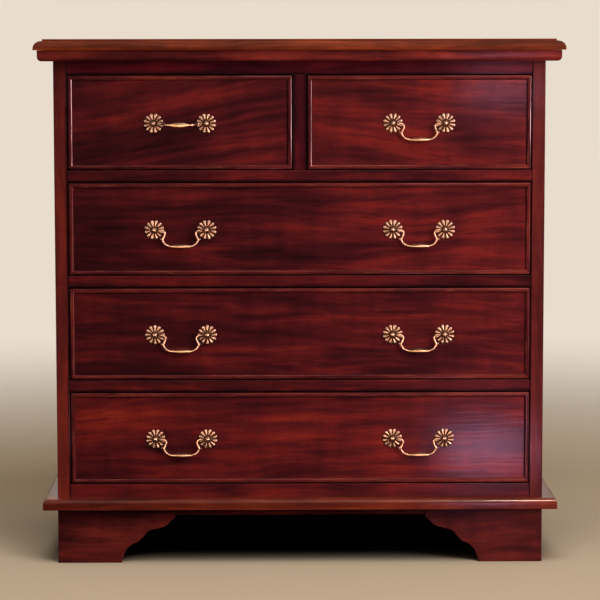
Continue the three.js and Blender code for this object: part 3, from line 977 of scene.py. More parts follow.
class Finishes:
    """Every finish of the chest, each made once."""

    def __init__(self) -> None:
        """Makes the shared finishes."""
        self.made: dict[str, bpy.types.Material] = {}
        self.oak = self.keep(
            BareWood(
                "planed_oak",
                Grain.FRONT_TO_BACK,
                tuple(zip(BARE_PLACES, ("#8a6338", "#a67d4b", "#bd9762"))),
                "#7a5227",
                turned_boards=True,
            ).make(),
            "oak",
        )
        self.oak_panel = self.keep(
            BareWood(
                "planed_oak_panel",
                Grain.ACROSS_CHEST,
                tuple(zip(BARE_PLACES, ("#916a3e", "#ae8653", "#c4a06c"))),
                "#83592c",
                shift=(0.0, 90.0, 400.0),
            ).make(),
            "oak",
        )
        self.pine = self.keep(
            BareWood(
                "planed_pine",
                Grain.ACROSS_CHEST,
                tuple(zip(BARE_PLACES, ("#a77c48", "#c39a63", "#d6b380"))),
                "#9a6a35",
                bands=replace(BareWood.bands, width=10.0),
            ).make(),
            "pine",
        )
        self.pine_upright = self.keep(
            BareWood(
                "planed_pine_upright",
                Grain.UPRIGHT,
                tuple(zip(BARE_PLACES, ("#b08a58", "#c8a572", "#dabc8c"))),
                "#a37a45",
                bands=replace(BareWood.bands, length=1500.0, width=9.0),
                fibres=replace(BareWood.fibres, length=400.0),
                pores=replace(BareWood.pores, length=40.0),
                joints=back_joints(),
            ).make(),
            "pine",
        )
        self.brass = self.keep(AgedBrass("aged_brass").make(), "brass")

    @staticmethod
    def keep(material: bpy.types.Material, slot: str) -> bpy.types.Material:
        """Notes the record's slot on a material, and gives the material back."""
        material["slot"] = slot
        return material

    def mahogany(self, name: str, grain: Grain, seed: int, **changes: object) -> bpy.types.Material:
        """Gives a board's own mahogany.

        Args:
            name: The board's name.
            grain: The way its fibres run.
            seed: Which board of the log it is.
            changes: Fields of the finish that differ from the usual ones.

        Returns:
            The material.
        """
        if name not in self.made:
            shift = tuple(seed * step for step in LOG_STEP)
            finish = PolishedMahogany(f"mahogany_{name}", grain, shift, **changes)
            self.made[name] = self.keep(finish.make(), "mahogany")
        return self.made[name]


# The case


@dataclass
class Case:
    """The case: top, mouldings, sides, rails, divider, back, inside boards and feet."""

    finishes: Finishes
    body: str = "case"
    # How wide the rounded edges are
    arris: float = 0.9
    inside_arris: float = 0.6
    back_arris: float = 0.4
    # Edges under these angles, in degrees, are shaded smooth
    edge_angle: float = 30.0
    foot_angle: float = 25.0
    ovolo_radius: float = 14.0
    ovolo_steps: int = 14
    fillet_height: float = 3.3
    ledge_width: float = 1.7
    round_steps: int = 12
    top_round: float = 8.0
    base_round: float = 9.0
    glue_line: float = 0.2
    bracket_thickness: float = 24.0
    rear_bracket_thickness: float = 20.0
    block_width: float = 52.0
    block_lift: float = 2.0
    strip_drop: float = 14.0
    curve_steps: int = 72
    # How far the painted shade at a drawer gap, with dark polish collected there, reaches: on the
    # rail below a drawer and the right side, on the left side, and on the rail above a drawer
    # and the divider
    gap_shade_near: float = 4.5
    gap_shade_left: float = 6.3
    gap_shade_far: float = 9.0
    # How much lighter the left side is and how much darker the right one, and how much
    # lighter each rail is at its left and right end
    side_lift: float = 0.07
    rail_lifts = {"upper": (-0.1, 0.03), "middle": (0.1, -0.22), "lower": (0.05, -0.12)}
    satin_gloss: float = 0.2
    satin_roughness: float = 0.34
    # Which boards of the log they are: the first of five rails, and the feet's face boards
    # and side boards
    first_rail_seed: int = 11
    foot_face_seed: int = 20
    foot_side_seed: int = 30
    # The bracket's inner edge from the floor up: share of the way from its floor width to
    # its top width, and share of the foot's height
    bracket_edge_shares = (
        (0.0, 0.0), (0.02, 0.1), (0.07, 0.215), (0.165, 0.318), (0.3, 0.38), (0.4, 0.47),
        (0.5, 0.575), (0.67, 0.618), (0.82, 0.668), (0.92, 0.76), (1.0, 0.83),
    )
    # Each bracket's width at the top and at the floor
    front_bracket: Point = (216.5, 117.5)
    side_bracket: Point = (150.0, 84.0)
    rear_bracket: Point = (120.0, 70.0)

    def build(self) -> None:
        """Builds and dresses the whole case."""
        self.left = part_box("side_left")[0]
        self.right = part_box("side_right")[1]
        self.build_top()
        self.build_mouldings()
        self.dress_boards()
        for side in Side:
            for at_front in (True, False):
                self.build_foot(side, at_front)

    def build_top(self) -> None:
        """Builds the top board with its moulded edge."""
        low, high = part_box("top_board")
        radius = self.ovolo_radius * MM
        fillet_foot = high.z - self.fillet_height * MM
        ovolo = arc((0.0, fillet_foot - radius), (radius, radius), 0, QUARTER, self.ovolo_steps)
        inset = (self.ovolo_radius + self.ledge_width) * MM
        edge = [(0.0, low.z), *((radius - across, up) for across, up in ovolo)]
        edge += [(inset, fillet_foot), (inset, high.z)]
        rings = [
            [
                Vector((low.x + inward, low.y + inward, z)),
                Vector((high.x - inward, low.y + inward, z)),
                Vector((high.x - inward, high.y, z)),
                Vector((low.x + inward, high.y, z)),
            ]
            for inward, z in edge
        ]
        vertices, faces = loft(rings)
        top = self.finishes.mahogany("top", Grain.ACROSS_CHEST, 1)
        satin = {"stops": OLIVE_STOPS, "gloss": self.satin_gloss,
                 "gloss_roughness": self.satin_roughness}
        front_edge = self.finishes.mahogany("top_edge", Grain.ACROSS_CHEST, 2, **satin)
        end = self.finishes.mahogany("top_end", Grain.FRONT_TO_BACK, 3, **satin)
        walls = 4 * (len(rings) - 1)
        paints = (1, 2, 0, 2)
        piece = make_piece(
            "top_board_finished", vertices, faces, (top, front_edge, end),
            paint=lambda face: paints[face % 4] if face < walls else 0, smooth=self.edge_angle,
        )
        soften(piece, self.arris)
        settle(piece, self.body, "top_board")
        log.info("top board: %d edge points", len(edge))

    def build_mouldings(self) -> None:
        """Builds the mitred mouldings under the top and round the base."""
        low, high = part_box("top_moulding")
        reach = (self.left.x - low.x) / MM
        round_reach = reach - self.top_round
        bottom, top = low.z / MM, high.z / MM
        section = [(self.glue_line, bottom)]
        section += arc((round_reach, bottom + self.top_round), (self.top_round,) * 2, -QUARTER, 0,
                       self.round_steps)
        section += [(reach, top), (self.glue_line, top)]
        self.build_moulding("top_moulding", section, 4, RED_BROWN_STOPS)
        low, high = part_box("base_moulding")
        reach = (self.left.x - low.x) / MM
        round_reach = reach - self.base_round
        bottom, top = low.z / MM, high.z / MM
        section = [(self.glue_line, bottom), (reach, bottom)]
        section += arc((round_reach, top - self.base_round), (self.base_round,) * 2, 0, QUARTER,
                       self.round_steps)
        section += [(self.glue_line, top)]
        self.build_moulding("base_moulding", section, 6, WARM_STOPS)

    def build_moulding(
        self, solid: str, section: Sequence[Point], seed: int, stops: Stops
    ) -> None:
        """Builds one moulding round the front and sides.

        Args:
            solid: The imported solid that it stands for.
            section: Reach out from the case and height, in millimetres.
            seed: Which board of the log its front length is.
            stops: Its colours from dark to light.
        """
        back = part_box(solid)[1].y
        front = self.left.y
        corners = [
            (self.left.x, -1, back, 0), (self.left.x, -1, front, -1),
            (self.right.x, 1, front, -1), (self.right.x, 1, back, 0),
        ]
        rings = [
            [
                Vector((x + out_x * reach * MM, y + out_y * reach * MM, z * MM))
                for reach, z in section
            ]
            for x, out_x, y, out_y in corners
        ]
        vertices, faces = loft(rings)
        front_finish = self.finishes.mahogany(
            f"{solid}_front", Grain.ACROSS_CHEST, seed, stops=stops
        )
        side_finish = self.finishes.mahogany(
            f"{solid}_side", Grain.FRONT_TO_BACK, seed + 1, stops=stops
        )
        count = len(section)
        piece = make_piece(
            f"{solid}_finished", vertices, faces, (side_finish, front_finish),
            paint=lambda face: int(count <= face < 2 * count), smooth=self.edge_angle,
        )
        soften(piece, self.arris / 2)
        settle(piece, self.body, solid)
        log.info("%s: %d section points", solid, count)

    def dress_boards(self) -> None:
        """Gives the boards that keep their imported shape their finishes."""
        mahogany = self.finishes.mahogany
        near, far = self.gap_shade_near, self.gap_shade_far
        upright = {
            "stops": DULLED_STOPS,
            "clouds": replace(PolishedMahogany.clouds, length=420.0, share=0.5),
            "streaks": replace(PolishedMahogany.streaks, length=380.0, share=0.34),
            "dashes": replace(PolishedMahogany.dashes, share=0.15),
        }
        # The dark along the arrises beside the drawer gaps is painted shade, with dark polish there
        for name, seed, lift, inner, reach in (
            ("side_left", 8, self.side_lift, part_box("side_left")[1], self.gap_shade_left),
            ("side_right", 9, -self.side_lift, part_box("side_right")[0], near),
        ):
            finish = mahogany(
                name, Grain.UPRIGHT, seed, lift=(lift, lift),
                dark_arrises=(("X", inner.x / MM, reach),), **upright,
            )
            dress_solid(name, finish, self.arris)
        # The divider's darker shades are painted shade between the drawers
        low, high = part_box("drawer_divider")
        finish = mahogany(
            "divider", Grain.UPRIGHT, 10, stops=SHADED_DIVIDER_STOPS,
            dark_arrises=(("X", low.x / MM, far), ("X", high.x / MM, far)),
        )
        dress_solid("drawer_divider", finish, self.arris)
        rails = ("top", "upper", "middle", "lower", "bottom")
        for seed, rail in enumerate(rails, start=self.first_rail_seed):
            low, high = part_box(f"{rail}_rail")
            arrises = []
            if rail != "bottom":
                arrises.append(("Z", low.z / MM, far))
            if rail != "top":
                arrises.append(("Z", high.z / MM, near))
            # The top rail's darker shades are painted shade under the top moulding
            changes = {"stops": SHADED_STOPS} if rail == "top" else {}
            finish = mahogany(
                f"{rail}_rail", Grain.ACROSS_CHEST, seed, dark_arrises=tuple(arrises),
                lift=self.rail_lifts.get(rail, (0.0, 0.0)), **changes,
            )
            dress_solid(f"{rail}_rail", finish, self.arris)
        dress_solid("back_panel", self.finishes.pine_upright, self.back_arris)
        dress_solid("bottom_board", self.finishes.pine, self.inside_arris)
        for level in rails[:-1]:
            dress_solid(f"{level}_dust_board", self.finishes.pine, self.inside_arris)
        log.info("boards that keep their shape dressed")

    def bracket_outline(self, widths: Point, shaped: bool) -> list[Point]:
        """Gives a bracket's outline.

        Args:
            widths: Its width at the top and at the floor, in millimetres.
            shaped: Whether its inner edge is curved.

        Returns:
            Distance in from the foot's corner, and height, in millimetres.
        """
        width, floor_width = widths
        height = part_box("foot_front_left")[1].z / MM
        if shaped:
            full = height + self.glue_line
            places = [
                (floor_width + (width - floor_width) * across, up * full)
                for across, up in self.bracket_edge_shares
            ]
            edge = smooth_curve(places, self.curve_steps)
        else:
            edge = [(floor_width, 0.0), (width, height - self.strip_drop)]
        return [(0.0, 0.0), *edge, (width, height), (0.0, height)]

    def build_foot(self, side: Side, at_front: bool) -> None:
        """Builds a bracket foot: two boards mitred at the corner, and a block behind them.

        Args:
            side: The side of the chest.
            at_front: Whether it is a front foot.
        """
        solid = f"foot_{'front' if at_front else 'back'}_{side.name.lower()}"
        low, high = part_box(solid)
        corner_x = high.x if side is Side.RIGHT else low.x
        corner_y = low.y if at_front else high.y
        inward_x = -side.value
        inward_y = 1 if at_front else -1
        if at_front:
            face_outline = self.bracket_outline(self.front_bracket, True)
            face_depth = self.bracket_thickness
        else:
            face_outline = self.bracket_outline(self.rear_bracket, False)
            face_depth = self.rear_bracket_thickness
        side_outline = self.bracket_outline(self.side_bracket, True)
        side_depth = self.bracket_thickness

        def place(reach_x: float, reach_y: float, z: float) -> Vector:
            """Gives the point at these distances in from the corner and up from the floor."""
            return Vector(
                (corner_x + inward_x * reach_x * MM, corner_y + inward_y * reach_y * MM, z * MM)
            )

        face_rings = [
            [place(max(reach, mitre), depth, z) for reach, z in face_outline]
            for depth, mitre in ((0.0, 0.0), (face_depth, side_depth))
        ]
        side_rings = [
            [place(depth, max(reach, mitre), z) for reach, z in side_outline]
            for depth, mitre in ((0.0, 0.0), (side_depth, face_depth))
        ]
        corners = [place(side_depth, face_depth, self.block_lift),
                   place(self.block_width, self.block_width, face_outline[-1][1])]
        corner_block = block(Vector(map(min, *corners)), Vector(map(max, *corners)))
        vertices: list[Vector] = []
        faces: list[list[int]] = []
        owners: list[int] = []
        for owner, part in enumerate((loft(face_rings), loft(side_rings), corner_block)):
            offset = len(vertices)
            vertices += part[0]
            faces += [[corner + offset for corner in face] for face in part[1]]
            owners += [owner] * len(part[1])
        board = 4 * at_front + side.value
        face_board, side_board = (
            self.finishes.mahogany(f"{solid}_{part}", grain, seed + board, stops=DULLED_STOPS)
            for part, grain, seed in (
                ("face", Grain.ACROSS_CHEST, self.foot_face_seed),
                ("side", Grain.FRONT_TO_BACK, self.foot_side_seed),
            )
        )
        piece = make_piece(
            f"{solid}_finished", vertices, faces, (face_board, side_board, self.finishes.pine),
            paint=owners.__getitem__, smooth=self.foot_angle,
        )
        soften(piece, self.arris)
        settle(piece, self.body, solid)
        log.info("%s: %d outline points", solid, len(face_outline))


# The drawers


@dataclass
class Drawer:
    """A drawer: its front board, the cock bead round it, its box and its bottom."""

    name: str
    # Its board's place in the log, the slant of the fibres, how much lighter it is at the
    # chest's left and right, and how much dark polish and painted shade lie along its right
    seed: int
    slant: float
    lift: Point
    stain_and_shade_right: float
    finishes: Finishes
    field_setback: float = 1.0
    bead_width: float = 8.5
    bead_proud: float = 2.5
    bead_depth: float = 6.0
    bead_steps: int = 20
    bead_angle: float = 40.0
    # Dark polish and painted shade at the bead's outside and inside edge, and how far in
    # it reaches
    bead_stain_and_shade_outside: Point = (1.2, 1.5)
    bead_stain_and_shade_inside: Point = (0.3, 1.2)
    bead_seeds: tuple[int, int] = (50, 51)
    # Painted light on the level beads: how much lighter they are at the chest's left and right,
    # most at the right where the light falls
    level_bead_painted_light: Point = (0.05, 0.14)
    field_gap: float = 0.15
    margin_width: float = 19.0
    # How strong the dark polish and painted shade are along the board's left, and how much of that
    # strength is left below its middle
    stain_and_shade_left: float = 0.42
    stain_and_shade_low_share: float = 0.75
    board_arris: float = 0.35
    box_arris: float = 0.5
    bottom_arris: float = 0.4
    box_thickness: float = 10.0
    glue_line: float = 0.2
    tail_count: int = 4
    tail_length: float = 14.0
    tail_slope: float = 1 / 7
    tail_width_share: float = 0.7
    overrun: float = 5.0
    shank_hole: float = 2.8
    hole_sides: int = 16

    def build(self, pivots: Sequence[Vector], handle_bore: float) -> None:
        """Builds and dresses the drawer.

        Args:
            pivots: Where its bails swing, in metres.
            handle_bore: Distance between a handle's posts, in millimetres.
        """
        self.body = f"{self.name}_drawer"
        self.low, self.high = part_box(f"{self.name}_drawer_front")
        self.case_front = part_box("side_left")[0].y
        self.build_board(pivots, handle_bore)
        self.build_bead()
        dress_solid(f"{self.name}_drawer_box", self.finishes.oak, self.box_arris)
        dress_solid(f"{self.name}_drawer_bottom", self.finishes.oak_panel, self.bottom_arris)
        log.info("%s drawer: %d handles", self.name, len(pivots))

    def build_board(self, pivots: Sequence[Vector], handle_bore: float) -> None:
        """Builds the front board, its field a little inside the bead.

        Args:
            pivots: Where its bails swing, in metres.
            handle_bore: Distance between a handle's posts, in millimetres.
        """
        back = self.high.y
        rebate = self.case_front + self.bead_depth * MM
        field = self.case_front + self.field_setback * MM
        edge = self.bead_width + self.field_gap
        steps = ((0.0, back), (0.0, rebate), (edge, rebate), (edge, field),
                 (edge + self.margin_width, field))
        rings = [
            [
                Vector((x, y, z))
                for x, z in rectangle((self.low.x + inset * MM, self.low.z + inset * MM),
                                      (self.high.x - inset * MM, self.high.z - inset * MM))
            ]
            for inset, y in steps
        ]
        vertices, faces = loft(rings)
        finish = self.finishes.mahogany(
            f"{self.name}_drawer_board", Grain.ACROSS_CHEST, self.seed, slant=self.slant,
            lift=self.lift,
        )
        board = make_piece(f"{self.name}_drawer_board", vertices, faces, (finish,))
        carve(board, self.cutters(pivots, handle_bore))
        # Marks the painted shade and dark polish along the board's edges
        mark(board, "margin", lambda index: self.stain_and_shade_at(board.data.vertices[index].co))
        soften(board, self.board_arris)
        settle(board, self.body, f"{self.name}_drawer_front")

    def stain_and_shade_at(self, spot: Vector) -> float:
        """Tells how much dark polish and painted shade lie on the front board.

        Args:
            spot: A point of it, in metres.

        Returns:
            0 on the field, and the strength of the polish and shade along the edges.
        """
        inner = (self.bead_width + self.field_gap + self.margin_width / 2) * MM
        middle = (self.low + self.high) / 2
        inset = min(middle.x - self.low.x - abs(spot.x - middle.x),
                    middle.z - self.low.z - abs(spot.z - middle.z))
        if inset > inner:
            return 0.0
        level = self.stain_and_shade_right if spot.x > middle.x else self.stain_and_shade_left
        return level * (1.0 if spot.z > middle.z else self.stain_and_shade_low_share)

    def cutters(self, pivots: Sequence[Vector], handle_bore: float) -> list[Mesh]:
        """Gives what is cut out of the front board.

        Args:
            pivots: Where its bails swing, in metres.
            handle_bore: Distance between a handle's posts, in millimetres.

        Returns:
            The sockets for the sides' tails, the groove for the bottom and the handles' holes.
        """
        low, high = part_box(f"{self.name}_drawer_bottom")
        gap = self.glue_line * MM
        groove = block(
            Vector((low.x - gap, low.y - gap, low.z - gap)),
            Vector((high.x + gap, self.high.y + self.overrun * MM, high.z + gap)),
        )
        return [*self.tail_sockets(), groove, *self.shank_holes(pivots, handle_bore)]

    def tail_sockets(self) -> list[Mesh]:
        """Gives the blind sockets for the tails of both sides.

        Returns:
            A solid for each socket.
        """
        low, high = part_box(f"{self.name}_drawer_box")
        back = self.high.y / MM
        pitch = (high.z - low.z) / MM / self.tail_count
        depth = (self.box_thickness + self.glue_line) * MM
        beyond = self.overrun * MM
        tip = back - self.tail_length
        root = back + self.overrun
        sockets = []
        for tail in range(self.tail_count):
            middle = high.z / MM - (tail + 0.5) * pitch
            outline = [
                (y, middle + hand * (pitch * self.tail_width_share / 2
                                     + (back - y) * self.tail_slope + self.glue_line))
                for hand, y in ((1, root), (1, tip), (-1, tip), (-1, root))
            ]
            for ends in (
                (self.low.x - beyond, self.low.x + depth),
                (self.high.x - depth, self.high.x + beyond),
            ):
                sockets.append(
                    loft([[Vector((x, y * MM, z * MM)) for y, z in outline] for x in ends])
                )
        return sockets

    def shank_holes(self, pivots: Sequence[Vector], handle_bore: float) -> list[Mesh]:
        """Gives the holes for the handles' shanks.

        Args:
            pivots: Where the drawer's bails swing, in metres.
            handle_bore: Distance between a handle's posts, in millimetres.

        Returns:
            A solid for each hole.
        """
        beyond = self.overrun * MM
        radius = self.shank_hole * MM
        ends = (self.case_front - beyond, self.high.y + beyond)
        return [
            loft([
                [
                    Vector((pivot.x + hand * handle_bore / 2 * MM + x, y, pivot.z + z))
                    for x, z in circle(radius, self.hole_sides)
                ]
                for y in ends
            ])
            for pivot in pivots
            for hand in (-1, 1)
        ]

    def build_bead(self) -> None:
        """Builds the half-round cock bead, mitred at the corners."""
        rise = self.bead_proud + self.field_setback
        section = [(0.0, self.bead_depth)]
        section += arc((self.bead_width / 2, self.field_setback), (self.bead_width / 2, rise),
                       2 * QUARTER, 4 * QUARTER, self.bead_steps)
        section += [(self.bead_width, self.bead_depth)]
        corners = [
            (self.low.x, 1, self.low.z, 1), (self.high.x, -1, self.low.z, 1),
            (self.high.x, -1, self.high.z, -1), (self.low.x, 1, self.high.z, -1),
        ]
        corners.append(corners[0])
        rings = [
            [
                Vector((x + in_x * inset * MM, self.case_front + y * MM,
                        z + in_z * inset * MM))
                for inset, y in section
            ]
            for x, in_x, z, in_z in corners
        ]
        vertices, faces = loft(rings, capped=False)
        count = len(section)
        kept = len(vertices) - count
        faces = [[corner % kept for corner in face] for face in faces]
        rubbed = {
            "stops": BEAD_STOPS, "ripple_depth": 0.03, "gloss_roughness": 0.13, "sheen_level": 0.0,
            "rubs": replace(PolishedMahogany.rubs, share=0.22),
        }
        level_seed, upright_seed = self.bead_seeds
        # The level beads carry painted light, lighter towards the right
        level = self.finishes.mahogany(
            "bead_level", Grain.ACROSS_CHEST, level_seed, lift=self.level_bead_painted_light, **rubbed
        )
        upright = self.finishes.mahogany("bead_upright", Grain.UPRIGHT, upright_seed, **rubbed)
        bead = make_piece(
            f"{self.name}_cock_bead", vertices[:kept], faces, (level, upright),
            paint=lambda face: (face // count) % 2, smooth=self.bead_angle,
        )
        insets = [inset for inset, _ in section]
        # Marks the painted shade and dark polish at the bead's edges
        mark(bead, "margin", lambda index: self.bead_stain_and_shade(insets[index % count]))
        settle(bead, self.body)

    def bead_stain_and_shade(self, inset: float) -> float:
        """Tells how much dark polish and painted shade lie on the bead.

        Args:
            inset: How far in from its outside, in millimetres.

        Returns:
            The strength of the polish and shade, 0 on the crown.
        """
        edges = (
            (inset, *self.bead_stain_and_shade_outside), (self.bead_width - inset, *self.bead_stain_and_shade_inside)
        )
        return max(0.0, *(peak * (1 - away / reach) for away, peak, reach in edges))


# The handles


@dataclass
class Handle:
    """A swan-neck bail handle: two petalled rosettes with ball-headed posts, and a bail."""

    name: str
    drawer: str
    pivot: Vector
    raised: float
    brass: bpy.types.Material
    bore: float = 96.0
    standoff: float = 7.0
    # How far the petals are turned, as a share of a petal
    petal_phase_share: float = 0.0

    petal_count: int = 12
    # Places across a petal from its middle, in half widths
    petal_columns = (-1.0, -0.93, -0.75, -0.5, -0.2, 0.2, 0.5, 0.75, 0.93, 1.0)
    # Rings of the plate: how far in from the rim, in millimetres, then shares of the way
    # from the last of those to the hub
    rim_insets = (0.0, 0.0, 0.15, 0.5, 1.0, 1.8, 3.0)
    ring_shares = (0.14, 0.3, 0.46, 0.62, 0.78, 0.9, 1.0)
    # A petal's half width at the rim and at the hub, as shares of the petals' pitch
    petal_shares: Point = (0.74, 0.5)
    notch_radius: float = 15.8
    petal_radius: float = 18.2
    hub_radius: float = 6.2
    plate_edge: float = 0.5
    rim_round: float = 3.0
    # Heights of the grooves and of the petals' crests, at the rim and at the hub
    groove_heights: Point = (0.6, 1.3)
    crest_heights: Point = (2.5, 3.2)
    # The dark on a petal's face, how fast it fades out of a groove, and how it rises to the hub
    petal_shade: float = 0.42
    groove_shade_power: float = 1.5
    hub_shade_slope: float = 2.2
    hub_shade_start: float = 1.3

    lathe_sides: int = 32
    knob_radius: float = 4.75
    # Where the knob's round starts, a hair short of its tip, and ends, in turns
    knob_turns: Point = (0.2499, -0.17)
    knob_steps: int = 14
    # Radius and height of the neck under the knob, and the dark there: height and reach
    neck: Point = (3.0, 3.95)
    neck_shade_height: float = 3.4
    neck_shade_reach: float = 1.6
    post_blush: float = 0.8
    collar_radius: float = 5.2
    collar_height: float = 3.2
    collar_round: float = 0.6
    collar_steps: int = 6
    # Heights of the collar's foot and of the shank's top, which the plate hides
    collar_foot: float = 1.2
    shank_top: float = 1.0
    bore_radius: float = 2.1
    board_thickness: float = 21.0
    shank_radius: float = 2.3
    # How far the shank stands out of the nut, up to its chamfer and to its tip
    shank_ends: Point = (1.1, 1.5)
    shank_tip_share: float = 0.75
    nut_radius: float = 4.6
    nut_thickness: float = 3.0
    nut_chamfer: float = 0.5
    nut_chamfer_share: float = 0.86
    nut_flat_share: float = 0.866
    glue_line: float = 0.2

    drop: float = 30.0
    pin_radius: float = 1.6
    neck_radius: float = 1.5
    grip_radius: float = 3.7
    grip_depth: float = 5.0
    bail_sides: int = 20
    neck_steps: int = 44
    grip_steps: int = 26
    # The swan neck's line: shares of the drop, in from the pin and down
    neck_shares = (
        (0.4, 0.0), (0.55, 0.035), (0.66, 0.17), (0.62, 0.36), (0.515, 0.58), (0.57, 0.72),
        (0.72, 0.89), (1.0, 1.0),
    )
    # The knuckle on the neck: its place and reach as shares of the neck, and its height
    knuckle_share: float = 0.62
    knuckle_reach_share: float = 0.06
    knuckle_height: float = 0.55
    # How the grip swells, and the shoulder at its end: height, and reach as a share of its half
    grip_power: float = 0.8
    shoulder_height: float = 0.35
    shoulder_reach_share: float = 0.1
    # Rosiness of the grip, and how far from its ends the necks are fully rosy
    grip_blush: float = 0.45
    blush_reach: float = 8.0
    # The dark round the pins, partly patina and partly painted shade, and how fast it fades
    pin_shade: float = 1.3
    pin_shade_reach: float = 14.0
    spur_start_shares: Point = (0.54, 0.6)
    # The spur's rise in degrees, and how much of it there is at its root and tip
    spur_rise: float = 17.0
    spur_curl_shares: Point = (0.2, 1.8)
    spur_lift_share: float = 0.8
    spur_length: float = 6.0
    spur_radii: Point = (1.6, 0.45)
    spur_taper_power: float = 0.8
    spur_steps: int = 8
    spur_sides: int = 12

    # Edges under these angles, in degrees, are shaded smooth
    cast_angle: float = 50.0
    post_angle: float = 38.0

    def build(self) -> None:
        """Builds both rosettes and the bail."""
        for side in Side:
            rosette = self.build_rosette(side)
            settle(rosette, self.drawer, f"{self.name}_rosette_{side.name.lower()}")
        bail = self.build_bail()
        settle(bail, f"{self.name}_bail", f"{self.name}_bail")
        log.info("%s handle: bail raised %g degrees", self.name, self.raised)

    def build_rosette(self, side: Side) -> bpy.types.Object:
        """Builds a rosette with its post, shank and nut.

        Args:
            side: Which of the handle's two rosettes it is.

        Returns:
            The object, in place.
        """
        vertices, faces, recess = self.petal_mesh()
        plate = make_piece(f"{self.name}_cast_rosette_{side.name.lower()}", vertices, faces,
                           (self.brass,), smooth=self.cast_angle)
        mark(plate, "recess", recess.__getitem__)
        mark(plate, "blush", lambda index: 1.0)
        post = make_piece("post", *loft(self.post_rings()), (self.brass,), smooth=self.post_angle)
        off_neck = [abs(-vertex.co.y / MM - self.neck_shade_height)
                    for vertex in post.data.vertices]
        mark(post, "recess", lambda index: max(0.0, 1 - off_neck[index] / self.neck_shade_reach))
        mark(post, "blush", lambda index: self.post_blush)
        bore = loft([
            [
                Vector((x, -self.standoff + y, z)) * MM
                for y, z in circle(self.bore_radius, self.lathe_sides)
            ]
            for x in (side.value * self.pin_radius, -side.value * self.knob_radius * 2)
        ])
        carve(post, [bore])
        self.absorb(plate, post)
        place = Vector((side.value * self.bore / 2, self.standoff, 0.0)) * MM
        plate.data.transform(Matrix.Translation(self.pivot + place))
        return plate

    @staticmethod
    def absorb(whole: bpy.types.Object, part: bpy.types.Object) -> None:
        """Joins a part's mesh into another piece.

        Args:
            whole: The piece that takes the part.
            part: The part, which is then removed.
        """
        build = bmesh.new()
        build.from_mesh(whole.data)
        build.from_mesh(part.data)
        build.to_mesh(whole.data)
        build.free()
        bpy.data.objects.remove(part)

    def petal_mesh(self) -> tuple[list[Vector], list[list[int]], list[float]]:
        """Gives the petalled plate, its back at y = 0.

        Returns:
            Vertices in metres, faces, and how deep in a hollow each vertex lies.
        """
        rings: list[Ring] = []
        recess: list[float] = []
        for index, place in enumerate((*self.rim_insets, *self.ring_shares)):
            ring = []
            on_rim = index < len(self.rim_insets)
            along = 0.0 if on_rim else place
            half = between(self.petal_shares, along)
            groove = between(self.groove_heights, along)
            crest = between(self.crest_heights, along)
            for petal in range(self.petal_count):
                for column in (*self.petal_columns, None):
                    across = 1.0 if column is None else half * column
                    swell = 0.0 if column is None else math.sqrt(1 - column * column)
                    rim = between((self.notch_radius, self.petal_radius), swell)
                    if on_rim:
                        radius = rim - place
                    else:
                        radius = between((rim - self.rim_insets[-1], self.hub_radius), place)
                    fall = 1 - min(1.0, (rim - radius) / self.rim_round)
                    rounding = math.sqrt(max(0.0, 1 - fall * fall))
                    height = 0.0
                    if index:
                        height = between((self.plate_edge, groove), rounding)
                        height += (crest - groove) * swell * rounding
                    turn = (petal + (across + 1) / 2 + self.petal_phase_share) / self.petal_count
                    spot = Vector((math.sin(2 * math.pi * turn) * radius, -height,
                                   math.cos(2 * math.pi * turn) * radius))
                    ring.append(spot * MM)
                    shade = max((1 - swell) ** self.groove_shade_power,
                                self.hub_shade_slope * along - self.hub_shade_start,
                                self.petal_shade)
                    recess.append(1.0 if index < 2 else shade)
            rings.append(ring)
        return *loft(rings), recess

    def post_rings(self) -> list[Ring]:
        """Gives the rings of the post.

        Returns:
            Rings in metres, from the knob's tip to the shank's tip.
        """
        collar_core = self.collar_radius - self.collar_round
        nut_face = -(self.glue_line * 2 + self.board_thickness)
        nut_end = nut_face - self.nut_thickness
        chamfered = self.nut_radius * self.nut_chamfer_share
        profile = [
            *arc((0.0, self.standoff), (self.knob_radius,) * 2, *self.knob_turns, self.knob_steps),
            self.neck,
            *arc((collar_core, self.collar_height), (self.collar_round,) * 2, QUARTER, -QUARTER,
                 self.collar_steps),
            (collar_core, self.collar_foot),
            (self.shank_radius, self.shank_top),
            (self.shank_radius, nut_face),
            (chamfered, nut_face),
            (self.nut_radius, nut_face - self.nut_chamfer),
            (self.nut_radius, nut_end + self.nut_chamfer),
            (chamfered, nut_end),
            (self.shank_radius, nut_end),
            (self.shank_radius, nut_end - self.shank_ends[0]),
            (self.shank_radius * self.shank_tip_share, nut_end - self.shank_ends[1]),
        ]
        flat = 2 * math.pi / 6
        rings = []
        for radius, height in profile:
            is_nut = nut_end <= height <= nut_face and radius > self.shank_radius
            ring = []
            for index in range(self.lathe_sides):
                turn = 2 * math.pi * index / self.lathe_sides
                spread = radius
                if is_nut:
                    within = (turn + flat / 2) % flat - flat / 2
                    spread = min(radius, self.nut_radius * self.nut_flat_share / math.cos(within))
                ring.append(
                    Vector((spread * math.cos(turn), -height, spread * math.sin(turn))) * MM
                )
            rings.append(ring)
        return rings

    def bail_ring(
        self, centre: Point, heading: Point, in_plane: float, across: float, sides: int
    ) -> Ring:
        """Gives a ring round the bail's line.

        Args:
            centre: Its middle in the bail's plane, in millimetres.
            heading: The line's direction there.
            in_plane: Half its width in the bail's plane, in millimetres.
            across: Half its depth, in millimetres.
            sides: How many points it has.

        Returns:
            The points, in metres.
        """
        length = math.hypot(*heading)
        side = (-heading[1] / length, heading[0] / length)
        ring = []
        for index in range(sides):
            turn = 2 * math.pi * (index + 0.5) / sides
            offset = in_plane * math.cos(turn)
            ring.append(
                Vector((centre[0] + side[0] * offset, across * math.sin(turn),
                        centre[1] + side[1] * offset)) * MM
            )
        return ring

